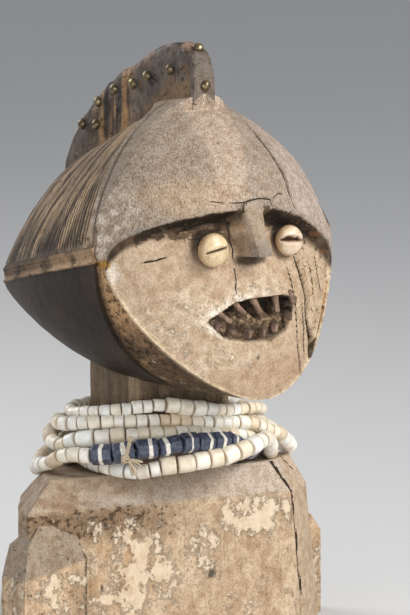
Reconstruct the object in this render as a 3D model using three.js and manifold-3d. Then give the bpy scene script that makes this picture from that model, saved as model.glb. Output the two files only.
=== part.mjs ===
// Bust of a carved wooden ancestor figure with cowrie eyes, peg teeth, brass tacks and bead strands.
// Millimetres, +Z up. The chest faces -Y, and the origin is on the flat underside below the neck.
import * as THREE from 'three';
import { mergeVertices } from 'three/addons/utils/BufferGeometryUtils.js';
import Module from 'manifold-3d';

const wasm = await Module();
wasm.setup();

// Driving sizes
const DEG = Math.PI / 180;
const GAP = 0.3;
const HEAD_TURN = 8 * DEG;
const FACE_RADIUS = 107.6;
const FACE_CENTRE_Y = 9;
const FACE_HALF_WIDTH = 85;
const JAW_SKEW = 0.1;
const FRONT_TENT = 0.2;
const HEAD_HALF_WIDTH = 88;
const CHIN_Z = 151;
const TEMPLE_Z = 233;
const BAND_Z = 240;
const BROW_Z = 264;
const BROW_FALL_LEFT = 0.0057;
const BROW_OVERHANG = 20;
const DOME_TOP_Z = 330;
const DOME_APEX_Z = 323.5;
const RIM_Y = -50;
const HEAD_LENGTH_BEHIND_RIM = 168;
const HAIRLINE_LEAN = 0.38;
const CREST_TOP_Z = 357;
const CREST_FRONT_Y = -42.5;
const CREST_BACK_Y = 86;
const NECK_HALF_WIDTH = 34;
const NECK_FRONT_Y = -26;
const NECK_BACK_Y = 30;
const NECK_CHAMFER = 4;
const CHEST_TOP_Z = 102;
const CHEST_EDGE_Z = 84;
const BEAD_SIDES = 5;

const COLOURS = {
  wood: 0x9b8468,
  shell: 0xe9dcc0,
  brass: 0x6b5a35,
  peg: 0x55382e,
  white: 0xe8e2d2,
  blue: 0x2f3f66,
};

const clamp = (value, low, high) => Math.min(high, Math.max(low, value));
const mix = (a, b, t) => a + (b - a) * t;
const span = (count) => Array.from({ length: count + 1 }, (_, i) => i / count);

// Closed mesh through rings of points, each ring with the same count
function loft(rings, closedLoop = false) {
  const count = rings[0].length;
  const points = rings.flat();
  const faces = [];
  const steps = closedLoop ? rings.length : rings.length - 1;
  for (let i = 0; i < steps; i += 1) {
    const next = (i + 1) % rings.length;
    for (let j = 0; j < count; j += 1) {
      const a = i * count + j;
      const b = i * count + (j + 1) % count;
      const c = next * count + (j + 1) % count;
      const d = next * count + j;
      faces.push(a, b, c, a, c, d);
    }
  }
  if (!closedLoop) {
    capRing(points, faces, rings[0], 0, true);
    capRing(points, faces, rings.at(-1), (rings.length - 1) * count, false);
  }
  const geometry = new THREE.BufferGeometry();
  geometry.setAttribute('position', new THREE.Float32BufferAttribute(points.flat(), 3));
  geometry.setIndex(faces);
  return facingOut(geometry);
}

// Fan from the middle of an end ring
function capRing(points, faces, ring, start, reversed) {
  const middle = [0, 1, 2].map((k) => ring.reduce((sum, p) => sum + p[k], 0) / ring.length);
  const centre = points.push(middle) - 1;
  for (let j = 0; j < ring.length; j += 1) {
    const a = start + j;
    const b = start + (j + 1) % ring.length;
    faces.push(...(reversed ? [centre, b, a] : [centre, a, b]));
  }
}

// Turns a closed mesh the right way round if its volume comes out negative
function facingOut(geometry) {
  const place = geometry.getAttribute('position');
  const index = geometry.getIndex();
  const corner = (k) => new THREE.Vector3().fromBufferAttribute(place, index.getX(k));
  let volume = 0;
  for (let k = 0; k < index.count; k += 3) {
    volume += corner(k).dot(corner(k + 1).cross(corner(k + 2)));
  }
  if (volume < 0) {
    for (let k = 0; k < index.count; k += 3) {
      const held = index.getX(k);
      index.setX(k, index.getX(k + 1));
      index.setX(k + 1, held);
    }
  }
  return geometry;
}

function bareGeometry(source) {
  const geometry = source.clone();
  geometry.deleteAttribute('normal');
  geometry.deleteAttribute('uv');
  return mergeVertices(geometry);
}

function toSolid(source) {
  const geometry = bareGeometry(source);
  return new wasm.Manifold(new wasm.Mesh({
    numProp: 3,
    vertProperties: new Float32Array(geometry.getAttribute('position').array),
    triVerts: new Uint32Array(geometry.getIndex().array),
  }));
}

function toGeometry(solid) {
  const mesh = solid.getMesh();
  const geometry = new THREE.BufferGeometry();
  geometry.setAttribute('position', new THREE.BufferAttribute(mesh.vertProperties, 3));
  geometry.setIndex(new THREE.BufferAttribute(mesh.triVerts, 1));
  return geometry;
}

// Head, in its own frame with the face towards -Y
const bandZ = (y) => BAND_Z - 0.215 * (y - RIM_Y);
const ridgeZ = (y) => 332 - 0.456 * (y + 40) - 0.01 * Math.max(0, y - 72) ** 2;
const undersideZ = (y) => Math.min(CHIN_Z + 1 + 0.0036 * Math.max(0, y + 20) ** 2, bandZ(y) - 6);
const jawFall = (z) => clamp((TEMPLE_Z - z) / (TEMPLE_Z - CHIN_Z), 0, 1);
const domeRise = (z) => clamp((z - TEMPLE_Z - 5) / (DOME_TOP_Z - TEMPLE_Z - 5), 0, 1);
const arch = (t) => (1 - t ** 1.6) ** 0.6;
const hairlineY = (z) => RIM_Y + HAIRLINE_LEAN * Math.max(0, z - BAND_Z - 5);

// Radius and centre of the round front at height z, which ends against the crest's front
function frontArc(z) {
  const rise = domeRise(z);
  const centreY = mix(FACE_CENTRE_Y, -9, rise);
  const radius = FACE_RADIUS * (1 - 0.42 * rise - 0.58 * rise ** 3.7);
  return { radius: Math.max(radius, centreY - CREST_FRONT_Y), centreY };
}

function frontY(x, z) {
  const { radius, centreY } = frontArc(z);
  return centreY - Math.sqrt(Math.max(0, radius ** 2 - x ** 2));
}

// Half width of an upright section of the hair, as a share, between a round and a tent-like one
const tented = (rise, share) => mix(arch(rise), 1 - rise ** 1.15, share);

function plateHalfWidth(z) {
  if (z < TEMPLE_Z) return FACE_HALF_WIDTH * arch(jawFall(z));
  const flare = mix(FACE_HALF_WIDTH, HEAD_HALF_WIDTH, clamp((z - TEMPLE_Z) / 5, 0, 1));
  return flare * tented(clamp((z - BAND_Z - 5) / (DOME_APEX_Z - BAND_Z - 5), 0, 1), FRONT_TENT);
}

const rimHalfWidth = (z) => HEAD_HALF_WIDTH * Math.sqrt(1 - clamp((244 - z) / 93, 0, 0.995) ** 2);

// How far the face lies back under the brow
const faceRecess = (x, z) => BROW_OVERHANG * clamp((z - CHIN_Z - 4) / (BROW_Z - CHIN_Z - 4), 0, 1) ** 1.6
  * Math.max(0, 1 - Math.abs(x / FACE_HALF_WIDTH) ** 3);

// One upright cross-section of the hair and the undercut side, at depth y
function skullSection(along) {
  const y = RIM_Y + HEAD_LENGTH_BEHIND_RIM * along;
  const side = HEAD_HALF_WIDTH * Math.sqrt(1 - along ** 2);
  const band = bandZ(y);
  const lean = (z) => y + HAIRLINE_LEAN * (1 - along) * Math.max(0, z - band - 5);
  const ridge = [1, 2, 3, 4].reduce((z) => ridgeZ(lean(z)), ridgeZ(y));
  const top = Math.max(ridge, band + 8);
  const bottom = undersideZ(y);
  const half = [];
  for (const t of span(7)) {
    const rise = Math.cos(t * 90 * DEG);
    half.push([side * tented(rise, mix(FRONT_TENT, 0.75, along)), mix(band + 5, top, rise)]);
  }
  half.push([side + 1.5, band + 4], [side + 1.5, band - 5]);
  for (const t of span(6)) {
    const a = t * 90 * DEG;
    half.push([side * Math.cos(a), mix(band - 6, bottom, Math.sin(a))]);
  }
  const left = half.slice(1, -1).reverse().map(([x, z]) => [-x, lean(z), z]);
  return [...half.map(([x, z]) => [x, lean(z), z]), ...left];
}

function skull() {
  const stations = [0, 12, 26, 40, 52, 63, 72, 79].map((a) => Math.sin(a * DEG));
  return toSolid(loft(stations.map(skullSection)));
}

// Slices near the crown tilt up towards the front
const crownZ = (y, z) => z + 0.2 * Math.max(0, hairlineY(z) - y) * clamp((z - 300) / 22, 0, 1);

// Slices of the domed forehead, the cheeks and the jaw wall
function maskSlice(z) {
  const half = plateHalfWidth(z);
  const leftHalf = half * (1 - JAW_SKEW * Math.sin(Math.PI * jawFall(z)));
  const points = span(16).map((t) => {
    const across = Math.sin(mix(-81, 81, t) * DEG) / Math.sin(81 * DEG);
    const x = across * (across > 0 ? leftHalf : half);
    return [x, frontY(x, z), crownZ(frontY(x, z), z)];
  });
  const back = z < TEMPLE_Z ? RIM_Y + 4 : Math.max(hairlineY(z), frontY(half, z)) + 5;
  const backHalf = z < TEMPLE_Z ? Math.max(rimHalfWidth(z) - 0.6, half * 0.9) : half - 1;
  const keel = backHalf / 2;
  return [...points, [backHalf, back, z], [keel, back + 12, z], [-keel, back + 12, z], [-backHalf, back, z]];
}

function mask() {
  const levels = [CHIN_Z + 0.6, 154, 158, 164, 172, 182, 194, 207, 220, 229, TEMPLE_Z,
    238, 246, 255, 264, 273, 282, 291, 299, 306, 312, 316.5, 320, 322];
  return toSolid(loft(levels.map(maskSlice)));
}

// Half widths of the brow's arch at height z, which falls faster on the figure's left
function browArch(z) {
  const rise = clamp((z - TEMPLE_Z) / (BROW_Z + 0.2 - TEMPLE_Z), 0, 1);
  return {
    right: FACE_HALF_WIDTH * (1 - rise ** 2.2) ** (1 / 2.2),
    left: Math.min(FACE_HALF_WIDTH, Math.sqrt((BROW_Z + 0.2 - z) / BROW_FALL_LEFT)),
  };
}

// Space in front of the set-back face, closed above by the arch of the brow
function faceHollow() {
  const levels = [140, 155, 168, 182, 196, 210, 224, TEMPLE_Z, 240, 246, 252, 257, 261, BROW_Z];
  return toSolid(loft(levels.map((z) => {
    const { right, left } = browArch(z);
    const inner = span(12).map((t) => {
      const x = mix(-right, left, t);
      return [x, frontY(x, TEMPLE_Z) + faceRecess(x, z), z];
    });
    return [...inner, [left + 5, -130, z], [-right - 5, -130, z]];
  })));
}

function nose() {
  const slice = (z, front, tip) => [[-10.7, -82, z], [-tip, front, z], [tip, front, z], [10.7, -82, z]];
  return toSolid(loft([slice(236.5, -101.3, 5.1), slice(BROW_Z + 5, -88.5, 5.8)]));
}

const MOUTH_OUTLINE = [
  [-35.4, 199.4], [-15.5, 209.6], [-1.5, 211.6], [21, 211.3], [35.4, 208.5],
  [22.5, 190.1], [9.9, 185.3], [-9.1, 185.7], [-24.6, 189.1],
];
const MOUTH_BACK_Y = -82;

function mouthHollow() {
  const ring = (y) => MOUTH_OUTLINE.map(([x, z]) => [x, y, z]);
  return toSolid(loft([ring(-120), ring(MOUTH_BACK_Y)]));
}

function ellipsoid([x, y, z], [rx, ry, rz], across = 14, down = 8) {
  const geometry = new THREE.SphereGeometry(1, across, down);
  geometry.scale(rx, ry, rz);
  geometry.translate(x, y, z);
  return geometry;
}

const EYES = { right: [-28.4, -87, 241.4], left: [28.4, -87, 242.7] };
const COWRIE = [9.6, 5.2, 10.2];

// Pegs driven into the edges of the mouth
const PEG_Y = -88;
const UPPER_PEGS = [
  { root: [-27, 206], tip: [-17, 197.5], radius: 2 },
  { root: [-15, 212], tip: [-6.5, 202], radius: 2 },
  { root: [-1, 214], tip: [5, 201], radius: 2.1 },
  { root: [16, 214], tip: [18.5, 201], radius: 2 },
  { root: [27.5, 213], tip: [29.5, 204.5], radius: 1.8 },
];
const LOWER_PEGS = [
  { root: [-28, 191], tip: [-26.5, 196.5], radius: 2 },
  { root: [-19, 185], tip: [-18, 192.5], radius: 2.1 },
  { root: [-6, 183], tip: [-5, 191], radius: 2.2 },
  { root: [5.5, 182.5], tip: [6, 190.5], radius: 2 },
  { root: [16, 185], tip: [16, 193], radius: 2 },
  { root: [26, 191], tip: [25, 197.5], radius: 1.9 },
];

// Crest along the crown, highest near its front
const crestHalf = (y) => mix(9, 7, (y + 25) / (CREST_BACK_Y + 25));

// Height of the crest's top, with the worn dip behind its front
function crestTop(y) {
  const back = clamp((y + 28) / (CREST_BACK_Y + 29), 0, 1);
  const dip = 3.4 * Math.exp(-(((y - 14) / 14) ** 2));
  return 276 + (CREST_TOP_Z - 276) * (1 - back ** 1.7) ** 0.72 - dip;
}

function crestSection(y, top, half) {
  const foot = ridgeZ(y) - 14;
  return [[-half, y, foot], [-half + 1, y, top - 5], [-half + 4, y, top],
    [half - 4, y, top], [half - 1, y, top - 5], [half, y, foot]];
}

function crest() {
  const rounded = [[CREST_FRONT_Y, 338], [-41.5, 346], [-38, 353], [-33, 356]];
  const front = rounded.map(([y, top]) => crestSection(y, top, 8.4));
  const along = [-22, -8, 2, 12, 24, 38, 52, 65, 77, CREST_BACK_Y];
  const rest = along.map((y) => crestSection(y, crestTop(y), crestHalf(y)));
  return toSolid(loft([...front, ...rest]));
}

function head() {
  const hollows = [faceHollow(), mouthHollow()];
  let solid = hollows.reduce((kept, cut) => kept.subtract(cut), mask().add(skull()));
  solid = solid.add(nose()).add(crest());
  for (const place of Object.values(EYES)) {
    const socket = ellipsoid(place, COWRIE.map((r) => r + GAP + 0.3));
    solid = solid.subtract(toSolid(socket));
  }
  for (const peg of [...UPPER_PEGS, ...LOWER_PEGS]) {
    solid = solid.subtract(toSolid(pegGeometry(peg.root, peg.tip, peg.radius, GAP + 0.1)));
  }
  return toSolid(toGeometry(solid).rotateZ(HEAD_TURN));
}

// Neck and chest
function neck() {
  const w = NECK_HALF_WIDTH;
  const c = NECK_CHAMFER;
  const right = [[c - w, NECK_BACK_Y], [0.6 - w, NECK_BACK_Y - 2], [-w, 17], [-w, NECK_FRONT_Y + c]];
  const front = [[c - w, NECK_FRONT_Y], [w - c, NECK_FRONT_Y]];
  const outline = [...right, ...front, [w, NECK_FRONT_Y + c], [w, NECK_BACK_Y - c], [w - c, NECK_BACK_Y]];
  return toSolid(loft([CHEST_TOP_Z - 8, 175].map((z) => outline.map(([x, y]) => [x, y, z]))));
}

const CHEST_OUTLINE = [
  [-111.6, -38], [-102, -8], [-80, 29], [-45, 48], [0, 54], [48, 49], [84, 26], [94.2, -11], [67.8, -38],
];
const CHEST_FLARE = 0.11;
const CHEST_TOP_SCALE = { right: 0.82, left: 0.89, depth: 0.76 };

// The chest is wider at its foot on the figure's left
function chestFoot() {
  const flare = CHEST_FLARE * CHEST_EDGE_Z;
  return CHEST_OUTLINE.map(([x, y]) => [x > 50 ? x + flare : x, y, 0]);
}

function chest() {
  const edge = CHEST_OUTLINE.map(([x, y]) => [x, y, CHEST_EDGE_Z]);
  const { right, left, depth } = CHEST_TOP_SCALE;
  const top = CHEST_OUTLINE.map(([x, y]) => [x * (x < 0 ? right : left), y * depth, CHEST_TOP_Z]);
  return toSolid(loft([chestFoot(), edge, top]));
}

// Upper arm as a squared post with a sloping, rounded shoulder cap
function arm([x0, x1], [y0, y1], lower, peak) {
  const square = (z) => [[x0, y0, z[0]], [x1, y0, z[1]], [x1, y1, z[2]], [x0, y1, z[3]]];
  const cap = peak.corners.map(([x, y]) => [x, y, peak.z]);
  const shoulder = square(lower);
  const rounded = shoulder.map((corner, i) => corner.map((v, k) => mix(v, cap[i][k], k < 2 ? 0.26 : 0.62)));
  return toSolid(loft([square([0, 0, 0, 0]), shoulder, rounded, cap]));
}

function arms() {
  const right = arm([-118, -76], [-45, -16], [46, 57, 57, 44],
    { z: 77, corners: [[-105, -38.5], [-96, -38.5], [-96, -30], [-105, -30]] });
  const left = arm([80, 118], [10, 38], [50, 50, 50, 50],
    { z: 66, corners: [[84, 14], [94, 14], [94, 26], [84, 26]] });
  return right.add(left);
}

// Small pieces
function piece(name, geometry, colour, roughness, metalness = 0) {
  const material = new THREE.MeshStandardMaterial({ color: colour, roughness, metalness });
  const mesh = new THREE.Mesh(geometry, material);
  mesh.name = name;
  return mesh;
}

const TACK_RADIUS = 3.3;
const TACK_HEIGHT = 2.6;
const SIDE_TACKS = [[-21, 341], [2, 335], [16, 329], [35, 324], [51, 315], [53, 301], [67, 300]];
const FAR_SIDE_TACKS = [[-21, 341], [2, 335], [35, 324], [51, 315], [67, 300]];

// Domed tack whose flat back stands just off the wood
function tack(name, [x, y, z], facing) {
  const profile = [[0, 0], [1, 0], [0.8, 0.55], [0.4, 0.92], [0, 1]]
    .map(([r, h]) => new THREE.Vector2(r * TACK_RADIUS, h * TACK_HEIGHT));
  const mesh = piece(name, bareGeometry(new THREE.LatheGeometry(profile, 8)), COLOURS.brass, 0.4, 0.9);
  const outward = new THREE.Vector3(...facing).normalize();
  mesh.quaternion.setFromUnitVectors(new THREE.Vector3(0, 1, 0), outward);
  mesh.position.set(x, y, z).addScaledVector(outward, GAP);
  return mesh;
}

function tacks() {
  const half = (y) => crestHalf(y) + 0.05;
  const near = SIDE_TACKS.map(([y, z], i) => tack(`tack_right_${i + 1}`, [-half(y), y, z], [-1, 0, 0]));
  const far = FAR_SIDE_TACKS.map(([y, z], i) => tack(`tack_left_${i + 1}`, [half(y), y, z], [1, 0, 0]));
  const ends = [
    tack('tack_front', [0.5, CREST_FRONT_Y, 332.5], [0, -1, 0]),
    tack('tack_top', [0.5, -35.5, 354.5], [0, -0.51, 0.86]),
    tack('tack_back', [0, CREST_BACK_Y, 277.5], [0, 1, 0]),
  ];
  return [...near, ...far, ...ends];
}

// Cowrie with its toothed slit towards the front
function cowrie(name, [x, y, z], slitTilt) {
  const shell = toSolid(ellipsoid([0, 0, 0], COWRIE));
  const slit = new THREE.BoxGeometry(14, 3, 1.1);
  slit.translate(0, -COWRIE[1], 0);
  slit.rotateY(slitTilt);
  const mesh = piece(name, toGeometry(shell.subtract(toSolid(slit))), COLOURS.shell, 0.35);
  mesh.position.set(x, y, z);
  return mesh;
}

// Six-sided peg from its root to its thinner tip
function pegGeometry([rootX, rootZ], [tipX, tipZ], radius, extra) {
  const root = new THREE.Vector3(rootX, PEG_Y + 1, rootZ);
  const tip = new THREE.Vector3(tipX, PEG_Y - 1.5, tipZ);
  const along = tip.clone().sub(root).normalize();
  const start = root.clone().addScaledVector(along, -extra);
  const end = tip.clone().addScaledVector(along, extra);
  const across = new THREE.Vector3(0, 1, 0).cross(along).normalize();
  const up = along.clone().cross(across);
  const ring = (centre, r) => span(5).map((_, k) => {
    const a = k * 60 * DEG;
    const p = centre.clone().addScaledVector(across, r * Math.cos(a)).addScaledVector(up, r * Math.sin(a));
    return p.toArray();
  });
  return loft([ring(start, radius + extra), ring(end, radius * 0.7 + extra)]);
}

const pegMesh = (name, peg) => piece(name, pegGeometry(peg.root, peg.tip, peg.radius, 0), COLOURS.peg, 0.7);

// Height between the stated ones, which run round from the figure's right side by its front
function heightAt(heights, turn) {
  const step = turn * heights.length;
  const k = Math.floor(step);
  const t = step - k;
  return mix(heights[k % heights.length], heights[(k + 1) % heights.length], t * t * (3 - 2 * t));
}

// Loop of beads, each a short length of its own thickness
function strand(name, { centreX, reach, front, back, heights, pitch, radius, colour }) {
  const route = span(32).slice(1).map((turn) => {
    const a = 2 * Math.PI * turn;
    const depth = Math.sin(a) > 0 ? front : back;
    return new THREE.Vector3(centreX - reach * Math.cos(a), -depth * Math.sin(a), heightAt(heights, turn));
  });
  const curve = new THREE.CatmullRomCurve3(route, true);
  const count = Math.round(curve.getLength() / pitch);
  const rings = [];
  for (let i = 0; i < count; i += 1) {
    const thick = radius * (1 - 0.14 * ((i * 3) % 5) / 4);
    rings.push(beadRing(curve, (i + 0.06) / count, thick), beadRing(curve, (i + 0.94) / count, thick));
  }
  return piece(name, loft(rings, true), colour, 0.4);
}

function beadRing(curve, place, radius) {
  const centre = curve.getPointAt(place);
  const along = curve.getTangentAt(place);
  const across = along.clone().cross(new THREE.Vector3(0, 0, 1)).normalize();
  const up = across.clone().cross(along);
  return span(BEAD_SIDES - 1).map((_, k) => {
    const a = 2 * Math.PI * k / BEAD_SIDES;
    return centre.clone().addScaledVector(across, radius * Math.cos(a))
      .addScaledVector(up, radius * Math.sin(a)).toArray();
  });
}

// Each strand's height at sixteen even turns, from the figure's right side by its front
const STRANDS = {
  beads_top: {
    centreX: 4, reach: 62, front: 36, back: 41, pitch: 8, radius: 3.6, colour: COLOURS.white,
    heights: [136, 138, 140.5, 142.5, 139, 135.5, 135, 131, 129, 130, 133, 135, 136, 136, 136, 136],
  },
  beads_second: {
    centreX: 9.7, reach: 77, front: 36.5, back: 42, pitch: 8, radius: 3.6, colour: COLOURS.white,
    heights: [131, 132, 133.2, 133, 129.5, 127.5, 119, 108, 104, 117, 129, 129, 128, 128, 128, 130],
  },
  beads_third: {
    centreX: -4, reach: 65, front: 43, back: 55, pitch: 8, radius: 3.6, colour: COLOURS.white,
    heights: [117.5, 123, 125.5, 126.5, 125.5, 122, 119, 118, 119, 121, 121.5, 122, 122, 122, 122.5, 119],
  },
  beads_blue: {
    centreX: -12, reach: 68, front: 54, back: 46, pitch: 12.5, radius: 4.3, colour: COLOURS.blue,
    heights: [107, 115, 116, 119.5, 122.3, 120.5, 112, 109.5, 111, 114.5, 117, 117, 117, 115, 108.5, 102],
  },
  beads_lower: {
    centreX: 4.5, reach: 63.5, front: 57, back: 46, pitch: 9, radius: 4.4, colour: COLOURS.white,
    heights: [112.4, 107, 104.4, 109.4, 111.3, 115.2, 118.5, 107, 107, 107, 107, 107, 107, 107, 107, 107],
  },
};

function figure() {
  const headSolid = head();
  const solid = chest().add(arms()).add(neck()).add(headSolid);
  return piece('figure', toGeometry(solid), COLOURS.wood, 0.75);
}

// Pieces that turn with the head
const headGroup = new THREE.Group();
headGroup.rotation.z = HEAD_TURN;
headGroup.add(cowrie('cowrie_right', EYES.right, 0.2), cowrie('cowrie_left', EYES.left, 0.1));
headGroup.add(...tacks());
headGroup.add(...UPPER_PEGS.map((peg, i) => pegMesh(`peg_upper_${i + 1}`, peg)));
headGroup.add(...LOWER_PEGS.map((peg, i) => pegMesh(`peg_lower_${i + 1}`, peg)));

const ancestorFigure = new THREE.Group();
ancestorFigure.add(figure(), headGroup);
ancestorFigure.add(...Object.entries(STRANDS).map(([name, row]) => strand(name, row)));

export default ancestorFigure;
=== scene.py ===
"""Looks of a carved ancestor figure: worn wood, shell eyes, peg teeth, brass tacks and glass beads."""
import math
import random
from functools import partial

import bpy
import numpy as np
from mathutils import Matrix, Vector


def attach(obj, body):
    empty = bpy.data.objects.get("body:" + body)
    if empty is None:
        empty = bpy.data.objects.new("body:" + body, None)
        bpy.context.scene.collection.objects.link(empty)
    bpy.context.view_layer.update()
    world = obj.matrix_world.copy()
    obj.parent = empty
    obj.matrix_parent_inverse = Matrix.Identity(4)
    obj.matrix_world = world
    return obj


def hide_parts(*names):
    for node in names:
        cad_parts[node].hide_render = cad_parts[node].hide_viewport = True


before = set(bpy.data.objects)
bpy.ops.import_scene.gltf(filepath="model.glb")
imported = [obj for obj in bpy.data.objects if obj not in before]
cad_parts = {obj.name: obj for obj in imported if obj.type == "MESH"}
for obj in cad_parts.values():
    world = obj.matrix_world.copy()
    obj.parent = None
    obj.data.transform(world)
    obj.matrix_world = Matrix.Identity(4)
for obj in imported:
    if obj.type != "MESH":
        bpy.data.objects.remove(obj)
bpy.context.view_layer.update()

# Driving sizes in millimetres, in the head's own frame or the body's
MM = 0.001
HEAD_TURN = math.radians(8)
FACE_RADIUS = 107.6
FACE_CENTRE_Y = 9
FACE_HALF_WIDTH = 85
JAW_SKEW = 0.1
FRONT_TENT = 0.2
HEAD_HALF_WIDTH = 88
CHIN_Z = 151
TEMPLE_Z = 233
BAND_Z = 240
BROW_Z = 264
BROW_OVERHANG = 20
DOME_TOP_Z = 330
DOME_APEX_Z = 323.5
RIM_Y = -50
HEAD_LENGTH_BEHIND_RIM = 168
HAIRLINE_LEAN = 0.38
CREST_TOP_Z = 357
CREST_FRONT_Y = -42.5
CREST_BACK_Y = 86
NECK_HALF_WIDTH = 34
NECK_FRONT_Y = -26
NECK_BACK_Y = 30
NECK_CHAMFER = 4
CHEST_TOP_Z = 102
CHEST_EDGE_Z = 84
GROOVE_PITCH = 3.1


# Numbers
def mix(a, b, t):
    return a + (b - a) * t


def ramp(low, high, value):
    """Smooth step from 0 at low to 1 at high."""
    t = np.clip((value - low) / (high - low), 0, 1)
    return t * t * (3 - 2 * t)


def lattice(cells, seed):
    mixed = cells @ np.array([73856093, 19349663, 83492791]) + seed * 40503
    mixed = (mixed ^ (mixed >> 13)) * 1274126177
    return ((mixed ^ (mixed >> 16)) & 0xFFFF) / 0xFFFF


def grain(points, size, seed):
    """Smooth noise from 0 to 1 with blotches about size wide; size may differ along each axis."""
    cell = points / size
    low = np.floor(cell).astype(np.int64)
    t = cell - low
    t = t * t * (3 - 2 * t)
    total = np.zeros(points.shape[:-1])
    for corner in np.ndindex(2, 2, 2):
        weight = np.where(corner, t, 1 - t).prod(axis=-1)
        total += weight * lattice(low + corner, seed)
    return total


def rough_noise(points, size, seed):
    """Three octaves of the smooth noise."""
    size = np.asarray(size, float)
    layers = [(1, 0.57), (0.5, 0.29), (0.25, 0.14)]
    return sum(share * grain(points, size * scale, seed + i) for i, (scale, share) in enumerate(layers))


def patch(x, z, centre, size, soft=0.5):
    """1 inside an ellipse in the x-z plane and 0 outside it."""
    off = np.hypot((x - centre[0]) / size[0], (z - centre[1]) / size[1])
    return ramp(1 + soft, 1 - soft, off)


def bell(value, middle, width):
    """Smooth bump of height 1 round a middle value."""
    return np.exp(-((value - middle) / width) ** 2)


def flat(x, z):
    """Points in an upright plane, for noise that doesn't change with depth."""
    return np.stack([x, np.zeros_like(x), z], axis=-1)


def travelled(route):
    """Length of a route up to each of its points."""
    return np.concatenate([[0], np.cumsum(np.linalg.norm(np.diff(route, axis=0), axis=1))])


def at_length(route, places):
    """Points at the stated lengths along a route."""
    length = travelled(route)
    return np.stack([np.interp(places, length, column) for column in np.transpose(route)], axis=-1)


# Head in its own frame, with the face towards -Y
def band_z(y):
    return BAND_Z - 0.215 * (y - RIM_Y)


def ridge_z(y):
    return 332 - 0.456 * (y + 40) - 0.01 * np.maximum(0, y - 72) ** 2


def underside_z(y):
    return np.minimum(CHIN_Z + 1 + 0.0036 * np.maximum(0, y + 20) ** 2, band_z(y) - 6)


def jaw_fall(z):
    return np.clip((TEMPLE_Z - z) / (TEMPLE_Z - CHIN_Z), 0, 1)


def dome_rise(z):
    return np.clip((z - TEMPLE_Z - 5) / (DOME_TOP_Z - TEMPLE_Z - 5), 0, 1)


def arch(t):
    return (1 - np.clip(t, 0, 1) ** 1.6) ** 0.6


def tented(rise, share):
    """Half width of a section as a share, between a round and a tent-like one."""
    return mix(arch(rise), 1 - rise ** 1.15, share)


def hairline_y(z):
    return RIM_Y + HAIRLINE_LEAN * np.maximum(0, z - BAND_Z - 5)


def front_y(x, z):
    """Depth of the plain round front, before the brow and face are cut."""
    rise = dome_rise(z)
    centre = mix(FACE_CENTRE_Y, -9, rise)
    radius = np.maximum(FACE_RADIUS * (1 - 0.42 * rise - 0.58 * rise ** 3.7), centre - CREST_FRONT_Y)
    return centre - np.sqrt(np.maximum(0, radius ** 2 - x ** 2))


def plate_half_width(z):
    low = FACE_HALF_WIDTH * arch(jaw_fall(z))
    flare = mix(FACE_HALF_WIDTH, HEAD_HALF_WIDTH, np.clip((z - TEMPLE_Z) / 5, 0, 1))
    high = flare * tented(np.clip((z - BAND_Z - 5) / (DOME_APEX_Z - BAND_Z - 5), 0, 1), FRONT_TENT)
    return np.where(z < TEMPLE_Z, low, high)


def crown_z(y, z):
    """Slices near the crown tilt up towards the front."""
    return z + 0.2 * np.maximum(0, hairline_y(z) - y) * np.clip((z - 300) / 22, 0, 1)


def rim_half_width(z):
    return HEAD_HALF_WIDTH * np.sqrt(1 - np.clip((244 - z) / 93, 0, 0.995) ** 2)


# Face carving as a depth over the front
BROW_FALL_LEFT = 0.0057
BROW_WALL = (6, 10)


def brow_z(x):
    """Height of the brow's edge, which falls faster on the figure's left."""
    half = np.clip(np.abs(x) / FACE_HALF_WIDTH, 0, 1)
    right = TEMPLE_Z + (BROW_Z - TEMPLE_Z) * (1 - half ** 2.2) ** (1 / 2.2)
    return np.where(x < 0, right, np.maximum(TEMPLE_Z - 10, BROW_Z - BROW_FALL_LEFT * x ** 2))


def face_y(x, z):
    """Depth of the set-back face under the brow."""
    height = np.clip((z - CHIN_Z - 4) / (BROW_Z - CHIN_Z - 4), 0, 1)
    recess = BROW_OVERHANG * height ** 1.6 * np.maximum(0, 1 - np.abs(x / FACE_HALF_WIDTH) ** 3)
    return front_y(x, TEMPLE_Z) + recess


NOSE_FOOT_Z = 236.5
NOSE_ROOT_Z = 276


def nose_y(x, z):
    """Depth of the wedge nose, infinite where there is no nose."""
    along = np.clip((z - NOSE_FOOT_Z) / (BROW_Z + 3 - NOSE_FOOT_Z), 0, 1)
    front = mix(-101.3, -88.5, along)
    root = ramp(BROW_Z - 2, NOSE_ROOT_Z, z)
    front = mix(front, front_y(x, z), root)
    tip = mix(5.1, 5.8, along)
    side = front + np.maximum(0, np.abs(x) - tip) * (-82 - front) / (10.7 - tip)
    inside = (z > NOSE_FOOT_Z) & (z < NOSE_ROOT_Z) & (np.abs(x) < 12)
    return np.where(inside, side, np.inf)


MOUTH_OUTLINE = [
    (-35.4, 199.4), (-15.5, 209.6), (-1.5, 211.6), (21, 211.3), (35.4, 208.5),
    (22.5, 190.1), (9.9, 185.3), (-9.1, 185.7), (-24.6, 189.1),
]
MOUTH_BACK_Y = -82


def line_distance(x, z, start, end):
    """Distance in the x-z plane from a straight stretch, and how far along it the nearest point lies."""
    dx, dz = end[0] - start[0], end[1] - start[1]
    t = np.clip(((x - start[0]) * dx + (z - start[1]) * dz) / (dx * dx + dz * dz), 0, 1)
    return np.hypot(x - start[0] - t * dx, z - start[1] - t * dz), t


def inside_mouth(x, z):
    """Distance in from the mouth's outline, negative outside it."""
    depth = np.full(np.shape(x), np.inf)
    for start, end in zip(MOUTH_OUTLINE, MOUTH_OUTLINE[1:] + MOUTH_OUTLINE[:1]):
        dx, dz = end[0] - start[0], end[1] - start[1]
        depth = np.minimum(depth, (dx * (start[1] - z) - dz * (start[0] - x)) / math.hypot(dx, dz))
    return depth


def gum_z(x):
    """Height of the scalloped ledge inside the mouth, where the lower pegs stand."""
    return 199 + 4.5 * np.abs(((x + 3) / 11) % 1 - 0.5) * 2


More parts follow.
